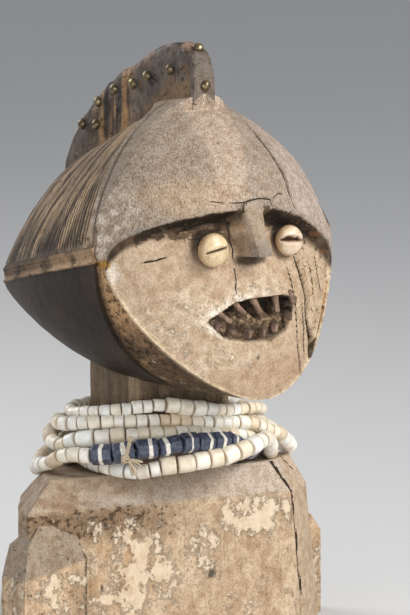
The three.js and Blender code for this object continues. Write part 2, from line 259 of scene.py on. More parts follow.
EYES = {"right": (-28.4, -87, 241.4), "left": (28.4, -87, 242.7)}
SOCKET = (9.6, 10.2)


def from_eye(side, x, z, margin=0.0):
    """Distance from an eye's middle as a share of its socket, widened by a margin."""
    centre_x, _, centre_z = EYES[side]
    return np.hypot((x - centre_x) / (SOCKET[0] + margin), (z - centre_z) / (SOCKET[1] + margin))


# Cracks over the front: width and depth at their widest, and their route in (x, z)
CRACKS = [
    (1.0, 3.2, [(27, 311), (28.5, 300), (31, 289), (33.5, 278), (35, 261)]),
    (1.2, 3.5, [(36, 234), (40, 223), (43, 207), (43.5, 192), (48, 180)]),
    (2.0, 6.0, [(45, 190), (47.5, 182), (45.5, 175), (46, 165)]),
    (0.5, 1.8, [(27, 232), (31, 219), (33, 206), (32.5, 193), (32, 171), (32, 158)]),
    (0.5, 1.3, [(-19, 268.5), (-7, 268), (6, 269.5), (13.5, 268), (14, 262)]),
    (0.5, 1.2, [(-6, 268), (-7, 262)]),
    (0.45, 1.4, [(-13.4, 232), (-13.2, 222), (-13.6, 212)]),
    (0.6, 1.6, [(-68, 235), (-60, 236), (-53, 238)]),
    (1.1, 2.2, [(-46, 252), (-38, 254), (-24, 257), (-12, 256)]),
    (0.5, 1.5, [(50, 228), (53, 216), (52, 205)]),
    (0.5, 1.2, [(58, 232), (60, 220), (63, 206)]),
    (0.5, 1.0, [(-13, 262), (-14, 252), (-12, 240), (-13, 232)]),
    (0.35, 0.7, [(38, 205), (39, 190), (37, 172)]),
    (0.35, 0.7, [(-30, 270), (-19, 268.5)]),
    (0.35, 0.7, [(14, 268), (22, 271), (27, 270)]),
]
# Stands for no crack or band near a point
FAR = 9.0


def near_cracks(x, z):
    """For each stretch of each crack: its width and depth, and the points' distance, fade and side."""
    across = x + 2.4 * (grain(flat(x, z), 14, 21) - 0.5)
    for width, depth, route in CRACKS:
        stretches = list(zip(route, route[1:]))
        for k, (start, end) in enumerate(stretches):
            distance, along = line_distance(across, z, start, end)
            whole = (k + along) / len(stretches)
            turn = (end[0] - start[0]) * (z - start[1]) - (end[1] - start[1]) * (across - start[0])
            yield width, depth, distance, np.minimum(whole, 1 - whole) * 6, np.sign(turn)


def crack_depth(x, z):
    """Depth of the splits at each point."""
    total = np.zeros(np.shape(x))
    for width, depth, distance, ends, _ in near_cracks(x, z):
        fade = np.clip(ends, 0.25, 1)
        total = np.maximum(total, depth * fade * np.exp(-(distance / (width * (0.6 + 0.4 * fade))) ** 2))
    return total


def crack_field(x, z):
    """Distance across the nearest crack as a share of its width, with a side, and the same without one."""
    nearest = np.full(np.shape(x), FAR)
    side = np.ones(np.shape(x))
    for width, _, distance, ends, turn in near_cracks(x, z):
        share = distance / (width * np.clip(ends, 0.35, 1))
        side = np.where(share < nearest, turn, side)
        nearest = np.minimum(nearest, share)
    return nearest * side, nearest


def clay_cover(x, z):
    """1 where the pale clay still covers the face below the brow, in ragged islands."""
    round_mouth = ramp(12, 2, np.abs(inside_mouth(x, z))) * ramp(10, -8, x) * ramp(184, 194, z)
    above_mouth = patch(x, z, (8, 217), (17, 6), 0.7)
    cheek = patch(x, z, (-48, 206), (24, 24), 0.8) * 0.66
    jaw = patch(x, z, (-30, 176), (42, 15), 0.8) * 0.6
    share = np.clip(np.maximum.reduce([round_mouth, above_mouth, cheek, jaw]), 0, 1)
    return ramp(0.36, 0.74, share * 0.66 + 0.7 * (rough_noise(flat(x, z), 4.2, 55) - 0.28) * (share > 0.02))


def crumbled(x, z):
    """1 in the strip under the brow where the surface has broken away, wider towards the nose."""
    depth = np.where(x > 8, 13, mix(8, 22, ramp(-66, -14, x)))
    return ramp(1.15, 0.75, (brow_z(x) - z) / depth) * ramp(-76, -64, x) * ramp(60, 40, x)


def front_surface(x, z):
    """Depth of the whole carved front: forehead, brow, nose, face and mouth."""
    place = flat(x, z)
    edge = brow_z(x) + 1.5 * (grain(place, 9, 3) - 0.5) + 1.1 * (grain(place, 3.2, 4) - 0.5)
    dome = front_y(x, z)
    below = ramp(0, 1, (edge - z) / np.where(x < 0, *BROW_WALL))
    y = np.where(z > edge, dome, mix(front_y(x, edge), face_y(x, z), below))
    y = np.where((z < edge) & (np.abs(x) > FACE_HALF_WIDTH - 3), np.maximum(y, dome), y)
    for side in EYES:
        y = y + 0.9 * (1 - ramp(0.75, 1, from_eye(side, x, z, 1.2)))
    y = np.minimum(y, nose_y(x, z))
    mouth = inside_mouth(x, z)
    back = mix(MOUTH_BACK_Y - 6.5, MOUTH_BACK_Y, ramp(-2, 2, z - gum_z(x)))
    back = back + 1.5 * (rough_noise(place, 5, 11) - 0.5)
    y = mix(y, np.maximum(y, back), ramp(0, 2.2, mouth))
    y = y + 1.6 * (rough_noise(place, 4.2, 12) - 0.4) * crumbled(x, z) * below * (mouth < 0)
    y = y + 1.1 * (rough_noise(place, 2.6, 13) - 0.5) * ramp(0, 1.5, mouth)
    return y + crack_depth(x, z) - 0.7 * clay_cover(x, z) * (z < edge - 8) * (mouth < 0)


# Values stored on a mesh's points
def set_colours(mesh, name, values):
    layer = mesh.color_attributes.new(name, "FLOAT_COLOR", "POINT")
    rgba = np.ones((len(values), 4), np.float32)
    rgba[:, :3] = values
    layer.data.foreach_set("color", rgba.ravel())


def set_numbers(mesh, name, values):
    layer = mesh.attributes.new(name, "FLOAT", "POINT")
    layer.data.foreach_set("value", np.asarray(values, np.float32))


def mesh_points(mesh):
    co = np.empty(len(mesh.vertices) * 3, np.float32)
    mesh.vertices.foreach_get("co", co)
    return co.reshape(-1, 3).astype(float)


def get_numbers(mesh, name):
    values = np.empty(len(mesh.vertices), np.float32)
    mesh.attributes[name].data.foreach_get("value", values)
    return values


def over_seams(mesh, values):
    """Gives the points along the joins, which hold 0, the value of a neighbour."""
    ends = np.empty(len(mesh.edges) * 2, np.int32)
    mesh.edges.foreach_get("vertices", ends)
    a, b = ends.reshape(-1, 2).T
    for _ in range(3):
        for near, far in ((a, b), (b, a)):
            take = (values[near] == 0) & (values[far] > 0)
            values[near[take]] = values[far[take]]
    return values


# Meshes
def mesh_piece(name, points, faces):
    mesh = bpy.data.meshes.new(name)
    mesh.from_pydata((np.asarray(points) * MM).tolist(), [], faces)
    mesh.update()
    ob = bpy.data.objects.new(name, mesh)
    bpy.context.scene.collection.objects.link(ob)
    return ob


def side_faces(rings, sides, start=0, closed=False):
    """Quads between rings of points, and from the last ring to the first where they close."""
    faces = []
    for i in range(rings if closed else rings - 1):
        a, b = start + i * sides, start + (i + 1) % rings * sides
        faces += [(a + j, a + (j + 1) % sides, b + (j + 1) % sides, b + j) for j in range(sides)]
    return faces


def ring_faces(rings, sides, start=0):
    """Quads between rings of points, and one face over each end."""
    last = start + (rings - 1) * sides
    ends = [tuple(range(start + sides - 1, start - 1, -1)), tuple(range(last, last + sides))]
    return side_faces(rings, sides, start) + ends


# Grids of points
def grid_normals(grid):
    """Unit normals of a grid of points whose second direction closes on itself."""
    down = np.gradient(grid, axis=0)
    across = np.roll(grid, -1, axis=1) - np.roll(grid, 1, axis=1)
    normal = np.cross(down, across)
    return normal / np.maximum(np.linalg.norm(normal, axis=-1, keepdims=True), 1e-9)


def faces_out(grid, normals):
    middle = grid.mean(axis=(0, 1))
    return 1 if ((grid - middle) * normals).sum() > 0 else -1


def carved(grid, amount):
    """The grid moved along its normals, out for a positive amount."""
    normals = grid_normals(grid)
    return grid + normals * faces_out(grid, normals) * amount[..., None]


def worn(grid, tall, wide, fine, seed):
    """Uneven tool marks and a fine roughness."""
    marks = tall * (rough_noise(grid, wide, seed) - 0.5)
    return carved(grid, marks + fine * (rough_noise(grid, 3.5, seed + 9) - 0.5))


PARTS = {"skull": 1, "mask": 2, "crest": 3, "neck": 4, "chest": 5, "arm": 6}


def grid_object(name, grid, groove=None):
    """Closed mesh from a grid of rings, with a fan over each end ring, marked with its part."""
    rings, count = grid.shape[:2]
    points = np.vstack([grid.reshape(-1, 3), grid[0].mean(axis=0), grid[-1].mean(axis=0)])
    middle, last = rings * count, (rings - 1) * count
    faces = side_faces(rings, count)
    faces += [(middle, (a + 1) % count, a) for a in range(count)]
    faces += [(middle + 1, last + a, last + (a + 1) % count) for a in range(count)]
    ob = mesh_piece(name, points, faces)
    if faces_out(grid, grid_normals(grid)) < 0:
        ob.data.flip_normals()
    set_numbers(ob.data, "Part", np.full(len(points), PARTS[name.split("_")[0]]))
    set_numbers(ob.data, "Groove", np.zeros(len(points)) if groove is None else [*groove.ravel(), 0, 0])
    return ob


def spread(corners, count):
    """Points evenly along a closed outline of corners."""
    closed = np.vstack([corners, corners[:1]])
    return at_length(closed, np.linspace(0, travelled(closed)[-1], count, endpoint=False))


# Head pieces
def mask_grid(levels=156, columns=132, wall=9):
    """Level slices of the forehead, face and jaw wall."""
    rows = []
    for z in np.linspace(CHIN_Z + 0.6, DOME_APEX_Z - 0.4, levels):
        half = float(plate_half_width(z))
        left = half * (1 - JAW_SKEW * math.sin(math.pi * float(jaw_fall(z))))
        across = np.sin(np.radians(np.linspace(-81, 81, columns))) / math.sin(math.radians(81))
        x = across * np.where(across > 0, left, half)
        level = np.full_like(x, z)
        edge_fade = ramp(1.0, 0.97, np.abs(across))
        y = mix(front_y(x, level), front_surface(x, level), edge_fade)
        front = np.stack([x, y, crown_z(y, level)], axis=-1)
        if z < TEMPLE_Z:
            back = RIM_Y + 4.0
            back_half = max(float(rim_half_width(z)) - 0.6, half * 0.9)
        else:
            back = max(float(hairline_y(z)), float(front_y(half, z))) + 5
            back_half = half - 1
        side = np.linspace(0, 1, wall + 1)[1:, None]
        right_wall = mix(front[-1], np.array([back_half, back, z]), side)
        left_wall = mix(front[0], np.array([-back_half, back, z]), side)[::-1]
        keel = np.array([[back_half / 2, back + 12, z], [-back_half / 2, back + 12, z]])
        rows.append(np.vstack([front, right_wall, keel, left_wall]))
    return np.array(rows)


def skull_section(along, hair_points=35, under_points=15):
    """Upright cross-section of the hair, the band and the undercut side."""
    y = RIM_Y + HEAD_LENGTH_BEHIND_RIM * along
    side = HEAD_HALF_WIDTH * math.sqrt(1 - along ** 2)
    band = band_z(y)

    def lean(z):
        return y + HAIRLINE_LEAN * (1 - along) * np.maximum(0, z - band - 5)

    top = ridge_z(y)
    for _ in range(4):
        top = ridge_z(lean(top))
    top = max(float(top), band + 8)
    t = np.linspace(0, 1, hair_points)
    rise = np.cos(t * math.pi / 2)
    reach = side * tented(rise, mix(FRONT_TENT, 0.75, along))
    hair = np.stack([reach, mix(band + 5, top, rise)], axis=-1)
    lip_z = np.array([4.4, 3.6, 1.8, 1.2, -0.6, -1.4, -3.4, -4.2, -5])
    lip_out = np.array([0.4, 1.5, 1.5, 0.9, 0.9, 0.4, 0.5, 1.6, 1.3])
    lip = np.stack([side + lip_out, band + lip_z], axis=-1)
    a = np.linspace(0, math.pi / 2, under_points)
    low = np.stack([side * np.cos(a), mix(band - 6, float(underside_z(y)), np.sin(a))], axis=-1)
    half = np.vstack([hair, lip, low])
    ring = np.vstack([half, half[1:-1][::-1] * (-1, 1)])
    return np.stack([ring[:, 0], lean(ring[:, 1]), ring[:, 1]], axis=-1)


GROOVE_STEPS = (0, 0.15, 0.36, 0.62, 0.85)
GROOVE_SHARES = (1, 0.38, 0, 0, 0.38)
GROOVE_DEPTH = 1.15


def skull_grid():
    """Sections in step with the hair's grooves, and how deep in a groove each point lies."""
    pitch = GROOVE_PITCH / HEAD_LENGTH_BEHIND_RIM
    count = int(0.985 / pitch)
    stations = np.array([(k + step) * pitch for k in range(count) for step in GROOVE_STEPS])
    grid = np.array([skull_section(a) for a in stations])
    wave = np.tile(GROOVE_SHARES, count)[:, None]
    along = stations[:, None]
    height = grid[..., 2] - band_z(RIM_Y + HEAD_LENGTH_BEHIND_RIM * along)
    crest_foot = np.abs(grid[..., 0]) - crest_half(grid[..., 1])
    groove = wave * ramp(5, 9, height) * ramp(2, 7, crest_foot) * ramp(0.035, 0.06, along)
    groove = groove * (0.55 + 0.6 * rough_noise(grid, (30, 20, 30), 33))
    bend = 4.5 * (rough_noise(grid, (26, 16, 24), 31) - 0.5) * ramp(0, 0.05, along) * ramp(5, 20, height)
    grid[..., 1] += bend
    return carved(grid, -GROOVE_DEPTH * groove), groove


def crest_half(y):
    return mix(9, 7, (y + 25) / (CREST_BACK_Y + 25))


def crest_top(y):
    """Height of the crest's top, with the worn dip behind its front."""
    back = np.clip((y + 28) / (CREST_BACK_Y + 29), 0, 1)
    dip = 3.4 * np.exp(-((y - 14) / 14) ** 2)
    return 276 + (CREST_TOP_Z - 276) * (1 - back ** 1.7) ** 0.72 - dip


def crest_outline(y):
    """Upright section of the crest, which is rounded at its front."""
    rise = (338, 346, 353, 356, float(crest_top(-22)))
    ahead = float(np.interp(y, (CREST_FRONT_Y, -41.5, -38, -33, -22), rise))
    top = ahead if y < -22 else float(crest_top(y))
    half = mix(8.4, float(crest_half(max(y, -22))), min(1, max(0, (y + 33) / 11)))
    foot = float(ridge_z(y)) - 14
    return [(-half, foot), (-half + 1, top - 5), (-half + 2.2, top - 1.6), (-half + 4, top),
            (half - 4, top), (half - 2.2, top - 1.6), (half - 1, top - 5), (half, foot)]


def crest_grid():
    rows = []
    for y in [*np.linspace(CREST_FRONT_Y, -33, 12), *np.linspace(-32, CREST_BACK_Y, 88)]:
        ring = spread(crest_outline(y), 68)
        rows.append(np.stack([ring[:, 0], np.full(len(ring), y), ring[:, 1]], axis=-1))
    grid = np.array(rows)
    y, z = grid[..., 1], grid[..., 2]
    eroded = rough_noise(grid, (20, 3, 30), 5) * ramp(10, 24, y) * ramp(74, 50, y)
    chewed = ramp(0.5, 0.8, rough_noise(grid, (9, 7, 8), 6)) * ramp(12, 2, crest_top(y) - z)
    return carved(grid, -2.4 * eroded - 1.3 * chewed)


# Neck, chest and arms
def neck_grid():
    w, c, front, back = NECK_HALF_WIDTH, NECK_CHAMFER, NECK_FRONT_Y, NECK_BACK_Y
    outline = [(w, back - c), (w - c, back), (c - w, back), (0.6 - w, back - 2), (-w, 17),
               (-w, front + c), (c - w, front), (w - c, front), (w, front + c)]
    ring = spread(outline, 84)
    levels = np.linspace(CHEST_TOP_Z - 8, 175, 28)
    return np.array([np.column_stack([ring, np.full(len(ring), z)]) for z in levels])


CHEST_OUTLINE = [
    (-111.6, -38), (-102, -8), (-80, 29), (-45, 48), (0, 54), (48, 49), (84, 26), (94.2, -11), (67.8, -38),
]
CHEST_FLARE = 0.11
CHEST_TOP_SCALE = {"right": 0.82, "left": 0.89, "depth": 0.76}


def chest_ring():
    """Points round the chest's outline, close together on its front and wide apart behind."""
    corners = np.array(CHEST_OUTLINE, float)
    pieces = []
    for start, end in zip(corners, np.roll(corners, -1, axis=0)):
        step = 1.6 if max(start[1], end[1]) < 0 else 6
        count = max(2, int(np.linalg.norm(end - start) / step))
        pieces.append(mix(start, end, np.linspace(0, 1, count, endpoint=False)[:, None]))
    return np.vstack(pieces)


def chest_grid():
    ring = chest_ring()
    x, y = ring[:, 0], ring[:, 1]
    count = len(ring)
    corner = ramp(60, 84, x)
    rows = []
    for z in [*np.linspace(0, CHEST_EDGE_Z, 44), *np.linspace(CHEST_EDGE_Z, CHEST_TOP_Z, 14)[1:]]:
        flare = CHEST_FLARE * max(0, CHEST_EDGE_Z - z) * corner
        rise = max(0, (z - CHEST_EDGE_Z) / (CHEST_TOP_Z - CHEST_EDGE_Z))
        scale_x = mix(1, np.where(x < 0, CHEST_TOP_SCALE["right"], CHEST_TOP_SCALE["left"]), rise)
        scale_y = mix(1, CHEST_TOP_SCALE["depth"], rise)
        rows.append(np.column_stack([(x + flare) * scale_x, y * scale_y, np.full(count, z)]))
    return np.array(rows)


def arm_grid(x_range, y_range, shoulder, peak_z, cap, count=64):
    (x0, x1), (y0, y1) = x_range, y_range
    corners = [(x0, y0), (x1, y0), (x1, y1), (x0, y1)]
    low = spread([(*p, 0) for p in corners], count)
    high = spread([(*p, z) for p, z in zip(corners, shoulder)], count)
    top = spread([(*p, peak_z) for p in cap], count)
    rounded = high + (top - high) * (0.26, 0.26, 0.62)
    rows = [mix(low, high, t) for t in np.linspace(0, 1, 28)]
    rows += [mix(high, rounded, t) for t in np.linspace(0, 1, 10)[1:]]
    rows += [mix(rounded, top, t) for t in np.linspace(0, 1, 10)[1:]]
    return np.array(rows)


RIGHT_ARM = dict(x_range=(-118, -76), y_range=(-45, -16), shoulder=(46, 57, 57, 44), peak_z=77,
                 cap=[(-105, -38.5), (-96, -38.5), (-96, -30), (-105, -30)])
LEFT_ARM = dict(x_range=(80, 118), y_range=(10, 38), shoulder=(50, 50, 50, 50), peak_z=66,
                cap=[(84, 14), (94, 14), (94, 26), (84, 26)])


HEAD_MATRIX = np.array([[math.cos(HEAD_TURN), math.sin(HEAD_TURN), 0],
                        [-math.sin(HEAD_TURN), math.cos(HEAD_TURN), 0], [0, 0, 1]])


def turned(grid):
    """From the head's own frame to the body's."""
    return grid @ HEAD_MATRIX


def joined(base, others):
    """One closed mesh from overlapping solids."""
    for other in others:
        cut = base.modifiers.new("join", "BOOLEAN")
        cut.operation = "UNION"
        cut.solver = "MANIFOLD"
        cut.object = other
    graph = bpy.context.evaluated_depsgraph_get()
    mesh = bpy.data.meshes.new_from_object(base.evaluated_get(graph))
    base.modifiers.clear()
    base.data = mesh
    for other in others:
        bpy.data.objects.remove(other)
    return base


def figure_object():
    chest = worn(chest_grid(), 1.2, 18, 0.4, 5)
    skull, groove = skull_grid()
    grids = {
        "skull": turned(worn(skull, 0.5, 20, 0.1, 1)),
        "mask": turned(worn(mask_grid(), 0.5, 14, 0.3, 2)),
        "crest": turned(worn(crest_grid(), 0.9, 12, 0.5, 3)),
        "neck": worn(neck_grid(), 0.8, 12, 0.3, 4),
        "chest": carved(chest, -chest_split(chest)),
        "arm_right": worn(arm_grid(**RIGHT_ARM), 1.2, 14, 0.4, 6),
        "arm_left": worn(arm_grid(**LEFT_ARM), 1.2, 14, 0.4, 7),
    }
    solids = [grid_object(name, grid, groove if name == "skull" else None) for name, grid in grids.items()]
    return joined(solids[0], solids[1:])


# Paint by place, as linear colours
def lay(tint, colour, mask):
    """Mixes a colour into the tint where the mask is high."""
    tint += (np.array(colour) - tint) * np.clip(mask, 0, 1)[:, None]


def flaky(points, size, share, seed, soft=0.08):
    """Ragged islands that cover about the stated share of the surface."""
    return ramp(1 - share - soft, 1 - share + soft, rough_noise(points, size, seed) * 1.25 - 0.1)


def brush(tint, points, zone):
    """Laying of colours that is held to a zone, and noise and flakes over its points."""
    def coat(colour, mask=1):
        lay(tint, colour, zone * mask)

    return coat, partial(rough_noise, points), partial(flaky, points)


def paint(tint, points, zones, coats):
    """Runs the painting of each zone in turn."""
    for name, painting in coats.items():
        painting(*brush(tint, points, zones[name]), points, zones)


def skull_place(head):
    """How far back each point lies along the skull, and the band's height there."""
    y0 = head[:, 1].copy()
    for _ in range(5):
        along = np.clip((y0 - RIM_Y) / HEAD_LENGTH_BEHIND_RIM, 0, 1)
        lean = HAIRLINE_LEAN * (1 - along) * np.maximum(0, head[:, 2] - band_z(y0) - 5)
        y0 = head[:, 1] - lean
    return np.clip((y0 - RIM_Y) / HEAD_LENGTH_BEHIND_RIM, 0, 1), band_z(y0)


def head_zones(head, part):
    """Masks of the parts of the head, and measures that their painting shares."""
    x, y, z = head.T
    along, band = skull_place(head)
    skew = np.where((x > 0) & (z < TEMPLE_Z), 1 - JAW_SKEW * np.sin(np.pi * jaw_fall(z)), 1)
    half = plate_half_width(z) * skew
    skull, mask = part == PARTS["skull"], part == PARTS["mask"]
    crest = (part == PARTS["crest"]).astype(float)
    wall = mask & (np.abs(x) > half - 2.5) & (y > front_y(half, z) + 0.9) & (z < TEMPLE_Z + 3)
    above = ramp(-0.5, 0.5, z - brow_z(x)) * mask * ~wall
    plate = (mask & ~wall) * (1 - above)
    proud = (y < front_y(x, z) + np.where(z < BROW_Z, 12, 30)) & (np.abs(x) < 11.5)
    nose = (proud & (y < face_y(x, z) - 1.2) & (z > NOSE_FOOT_Z - 1) & (z < BROW_Z + 1)).astype(float)
    height = z - band
    hair = skull * ramp(4.2, 5.2, height)
    lip = skull * ramp(6, 5, np.abs(height))
    facing = ramp(-60, -66, y)
    return {
        "along": along, "height": height, "half": half, "below_brow": brow_z(x) - z,
        "anywhere": np.ones(len(x)), "facing": facing, "crest": crest, "off_crest": 1 - crest,
        "forehead": above, "bevel": wall.astype(float), "plate": plate, "plate_off_nose": plate * (1 - nose),
        "nose": nose, "mouth": ramp(0, 1.6, inside_mouth(x, z)) * facing, "hair": hair, "hair_front": hair,
        "lip": lip, "bare_lip": lip * (1 - hair), "under": skull * ramp(-5, -6, height),
    }


def paint_forehead(coat, noise, flakes, head, zones):
    x, _, z = head.T
    coat((0.37, 0.305, 0.245))
    coat((0.44, 0.365, 0.295), noise(9, 41) * 0.9)
    coat((0.51, 0.43, 0.38), ramp(24, 44, x))
    coat((0.30, 0.245, 0.195), ramp(-44, -66, x) * 0.45)
    rise = np.clip((z - 276) / 50, 0, 1)
    off = np.abs(x - mix(-11, 3, rise)) / (mix(11, 17, rise) * (0.7 + 0.6 * noise(8, 42)))
    coat((0.56, 0.45, 0.36), ramp(1.08, 0.86, off) * ramp(262, 280, z) * 0.9)
    coat((0.56, 0.42, 0.29), patch(x, z, (-36, 272), (26, 10)) * 0.6)
    frost = ramp(0.35, 0.75, noise(3, 43)) * 0.8
    for centre, size in (((-70, 266), (9, 9)), ((-84, 247), (6, 9)), ((-80, 256), (7, 8))):
        coat((0.70, 0.62, 0.55), patch(x, z, centre, size, 0.6) * frost)
    lip = ramp(5, 2.5, z - brow_z(x)) * ramp(0.3, 0.6, noise(10, 44))
    coat((0.24, 0.22, 0.20), lip * ramp(-22, -40, x) * 0.75)
    coat((0.31, 0.275, 0.245), lip * ramp(-26, -14, x) * 0.6)


def paint_face(coat, noise, flakes, head, zones):
    x, _, z = head.T
    coat((0.48, 0.36, 0.25))
    coat((0.47, 0.33, 0.235), flakes((12, 12, 14), 0.42, 51, 0.25) * 0.55)
    coat((0.58, 0.465, 0.335), noise((9, 9, 8), 52) * ramp(165, 190, z) * 0.8)
    coat((0.54, 0.42, 0.29), ramp(34, 44, x) * 0.7)
    coat((0.30, 0.20, 0.12), flakes((2.2, 9, 12), 0.2, 53) * ramp(28, 40, x) * 0.8)
    coat((0.40, 0.29, 0.195), ramp(186, 160, z) * 0.35)
    coat((0.72, 0.59, 0.42), ramp(5, 1, zones["half"] - np.abs(x)) * flakes(4, 0.6, 54) * 0.8)
    coat((0.68, 0.57, 0.44), clay_cover(x, z) * (0.4 + 0.5 * noise(5, 59)))
    pale_rim = ramp(7, 1, -inside_mouth(x, z)) * ramp(14, -6, x) * ramp(186, 196, z) * zones["facing"]
    coat((0.88, 0.80, 0.69), pale_rim * ramp(0.3, 0.55, noise(3.4, 62)) * 0.9)
    coat((0.44, 0.31, 0.20), ramp(0.60, 0.72, noise((5, 5, 4), 63)) * ramp(40, 30, x) * 0.3)
    coat((0.74, 0.66, 0.56), patch(x, z, (-83, 229), (5, 6)) * 0.9)
    coat((0.03, 0.02, 0.012), patch(x, z, (-2.7, 176.4), (1.1, 1.1), 0.3) * zones["facing"])


def paint_ochre_spot(coat, noise, flakes, head, zones):
    x, y, z = head.T
    coat((0.55, 0.30, 0.07), patch(x, z, (-84.8, 234.5), (2.2, 2.4), 0.3) * ramp(-40, -46, y))


def paint_under_brow(coat, noise, flakes, head, zones):
    """Broken wood and shadow below the brow, and at the foot of the nose."""
    x, _, z = head.T
    below = zones["below_brow"] / np.where(x < 0, *BROW_WALL)
    # Brown of the crumbled strip under the brow: broken wood, partly painted shadow of the brow
    broken = crumbled(x, z) * ramp(9, 12, np.abs(x))
    coat((0.27, 0.195, 0.125), broken * (0.65 + 0.4 * noise(4, 56)))
    coat((0.085, 0.055, 0.032), broken * flakes((5, 9, 3.4), 0.42, 60, 0.12) * 0.9)
    coat((0.05, 0.032, 0.018), ramp(1.25, 0.7, below) * (0.75 + 0.4 * noise(5, 57)))
    coat((0.16, 0.07, 0.03), ramp(1.6, 1, below) * flakes((6, 6, 3), 0.3, 58) * 0.8)
    coat((0.05, 0.034, 0.02), patch(x, z, (0, 233.5), (12, 3.4), 0.3) * 0.9)


def paint_nose(coat, noise, flakes, head, zones):
    x, _, z = head.T
    # Rough brown wood, kept darker on the nose's sides as painted shade
    coat((0.33, 0.225, 0.14))
    coat((0.52, 0.37, 0.24), flakes((3, 3, 7), 0.4, 61))
    coat((0.10, 0.07, 0.042), ramp(252, 260, z))
    # Painted light: the nose's front is lighter than its shaded sides
    tip = ramp(7.4, 6, np.abs(x))
    coat((0.38, 0.30, 0.225), tip)
    coat((0.21, 0.19, 0.17), tip * ramp(250, 240, z) * 0.6)


def paint_sockets(coat, noise, flakes, head, zones):
    """Dark resin round the shells, with painted shade in the gap round them that is heaviest above them."""
    x, _, z = head.T
    for side, (_, _, centre_z) in EYES.items():
        # Painted shade round each shell, over dark resin, heaviest above it
        ring = ramp(1.26, 1.0, from_eye(side, x, z) + 0.35 * (noise(4, 65) - 0.5))
        coat((0.07, 0.048, 0.03), ring * (0.45 + 0.5 * ramp(-5, 5, z - centre_z)))


def paint_mouth(coat, noise, flakes, head, zones):
    x, _, z = head.T
    above_gum = z - gum_z(x)
    # Painted shade: the mouth's hollow is painted dark, with a lighter gum ledge
    coat((0.12, 0.08, 0.045))
    coat((0.40, 0.30, 0.19), ramp(2, -1, above_gum) * (0.5 + 0.6 * noise(3, 71)))
    coat((0.075, 0.048, 0.03), flakes((2.4, 9, 5), 0.4, 73, 0.15) * 0.85)
    # Painted shade on the mouth's inner walls, by its rim
    coat((0.05, 0.033, 0.022), ramp(3.2, 1, inside_mouth(x, z)) * 0.8)
    # Painted shade above the lower gum, under the upper lip
    coat((0.035, 0.023, 0.015), ramp(1, 4, above_gum) * (0.4 + 0.8 * noise(6, 72)))


def paint_bevel(coat, noise, flakes, head, zones):
    _, y, z = head.T
    coat((0.46, 0.275, 0.14))
    coat((0.68, 0.45, 0.25), noise((5, 5, 12), 75) * ramp(180, 215, z))
    coat((0.13, 0.085, 0.05), flakes((8, 8, 6), 0.7, 76, 0.2) * ramp(206, 180, z))
    coat((0.10, 0.065, 0.04), ramp(-56, RIM_Y, y) * (0.4 + 0.8 * noise(6, 78)))
    coat((0.62, 0.48, 0.31), flakes((4, 4, 2.6), 0.16, 77) * ramp(190, 164, z))


def paint_hair(coat, noise, flakes, head, zones):
    height, along = zones["height"], zones["along"]
    coat((0.46, 0.335, 0.23))
    coat((0.29, 0.22, 0.16), noise((30, 22, 26), 81))
    coat((0.50, 0.36, 0.235), flakes((9, 6, 30), 0.35, 84, 0.15) * ramp(0.75, 0.5, along))
    strands = noise((34, 3.4, 34), 89)
    coat((0.64, 0.47, 0.30), ramp(0.55, 0.66, strands) * 0.8)
    coat((0.065, 0.05, 0.04), ramp(0.46, 0.37, strands) * 0.85)
    coat((0.15, 0.11, 0.078), ramp(0.5, 0.9, along) * 0.7)
    low = ramp(34, 6, height) * ramp(0.06, 0.16, along) * ramp(0.95, 0.8, along)
    coat((0.05, 0.04, 0.034), low * ramp(0.4, 0.62, noise((20, 12, 30), 82)) * 0.9)
    coat((0.42, 0.315, 0.215), ramp(0.11, 0.05, along) * 0.8)
    coat((0.09, 0.07, 0.05), ramp(9, 6, height) * flakes((8, 8, 8), 0.6, 80) * 0.8)


def behind_hairline(head, distance, width):
    """1 on a line that runs a distance behind the hair's front edge."""
    return bell(head[:, 1] - hairline_y(head[:, 2]), distance, width)


def paint_crease(coat, noise, flakes, head, zones):
    # Painted shade in the crease along the hair's front edge
    coat((0.045, 0.032, 0.022), behind_hairline(head, 0.4, 0.9) * (head[:, 2] > BAND_Z - 4) * 0.9)


def paint_hairline(coat, noise, flakes, head, zones):
    # Painted shade of an incised line a little behind the hair's front edge
    coat((0.06, 0.045, 0.032), behind_hairline(head, 3.4, 0.7) * ramp(270, 290, head[:, 2]) * 0.7)
    coat((0.36, 0.24, 0.12), behind_hairline(head, 2.2, 0.8) * flakes(6, 0.4, 83) * 0.7)


def paint_lip(coat, noise, flakes, head, zones):
    height = zones["height"]
    front = ramp(0.5, 0.1, zones["along"])
    coat((0.17, 0.115, 0.072))
    coat((0.44, 0.30, 0.19), front * 0.75)
    coat((0.58, 0.40, 0.26), ramp(-2.6, -3.6, height) * (0.5 + 0.5 * front))
    # Painted shade in the groove between the band and the hair
    coat((0.03, 0.024, 0.02), ramp(3.4, 4.4, height) * 0.8)
    coat((0.045, 0.035, 0.028), flakes((16, 12, 10), 0.35, 85, 0.15) * 0.8)


def paint_under(coat, noise, flakes, head, zones):
    # Dark glossy wood under the band, painted darker still as painted shade under the overhang
    coat((0.024, 0.016, 0.010))
    coat((0.062, 0.038, 0.022), flakes((16, 16, 22), 0.4, 86, 0.25) * 0.8)
    coat((0.10, 0.085, 0.06), flakes((12, 12, 12), 0.16, 87, 0.12) * 0.7)
    coat((0.5, 0.42, 0.33), ramp(0.955, 0.975, grain(head, 2.4, 88)))


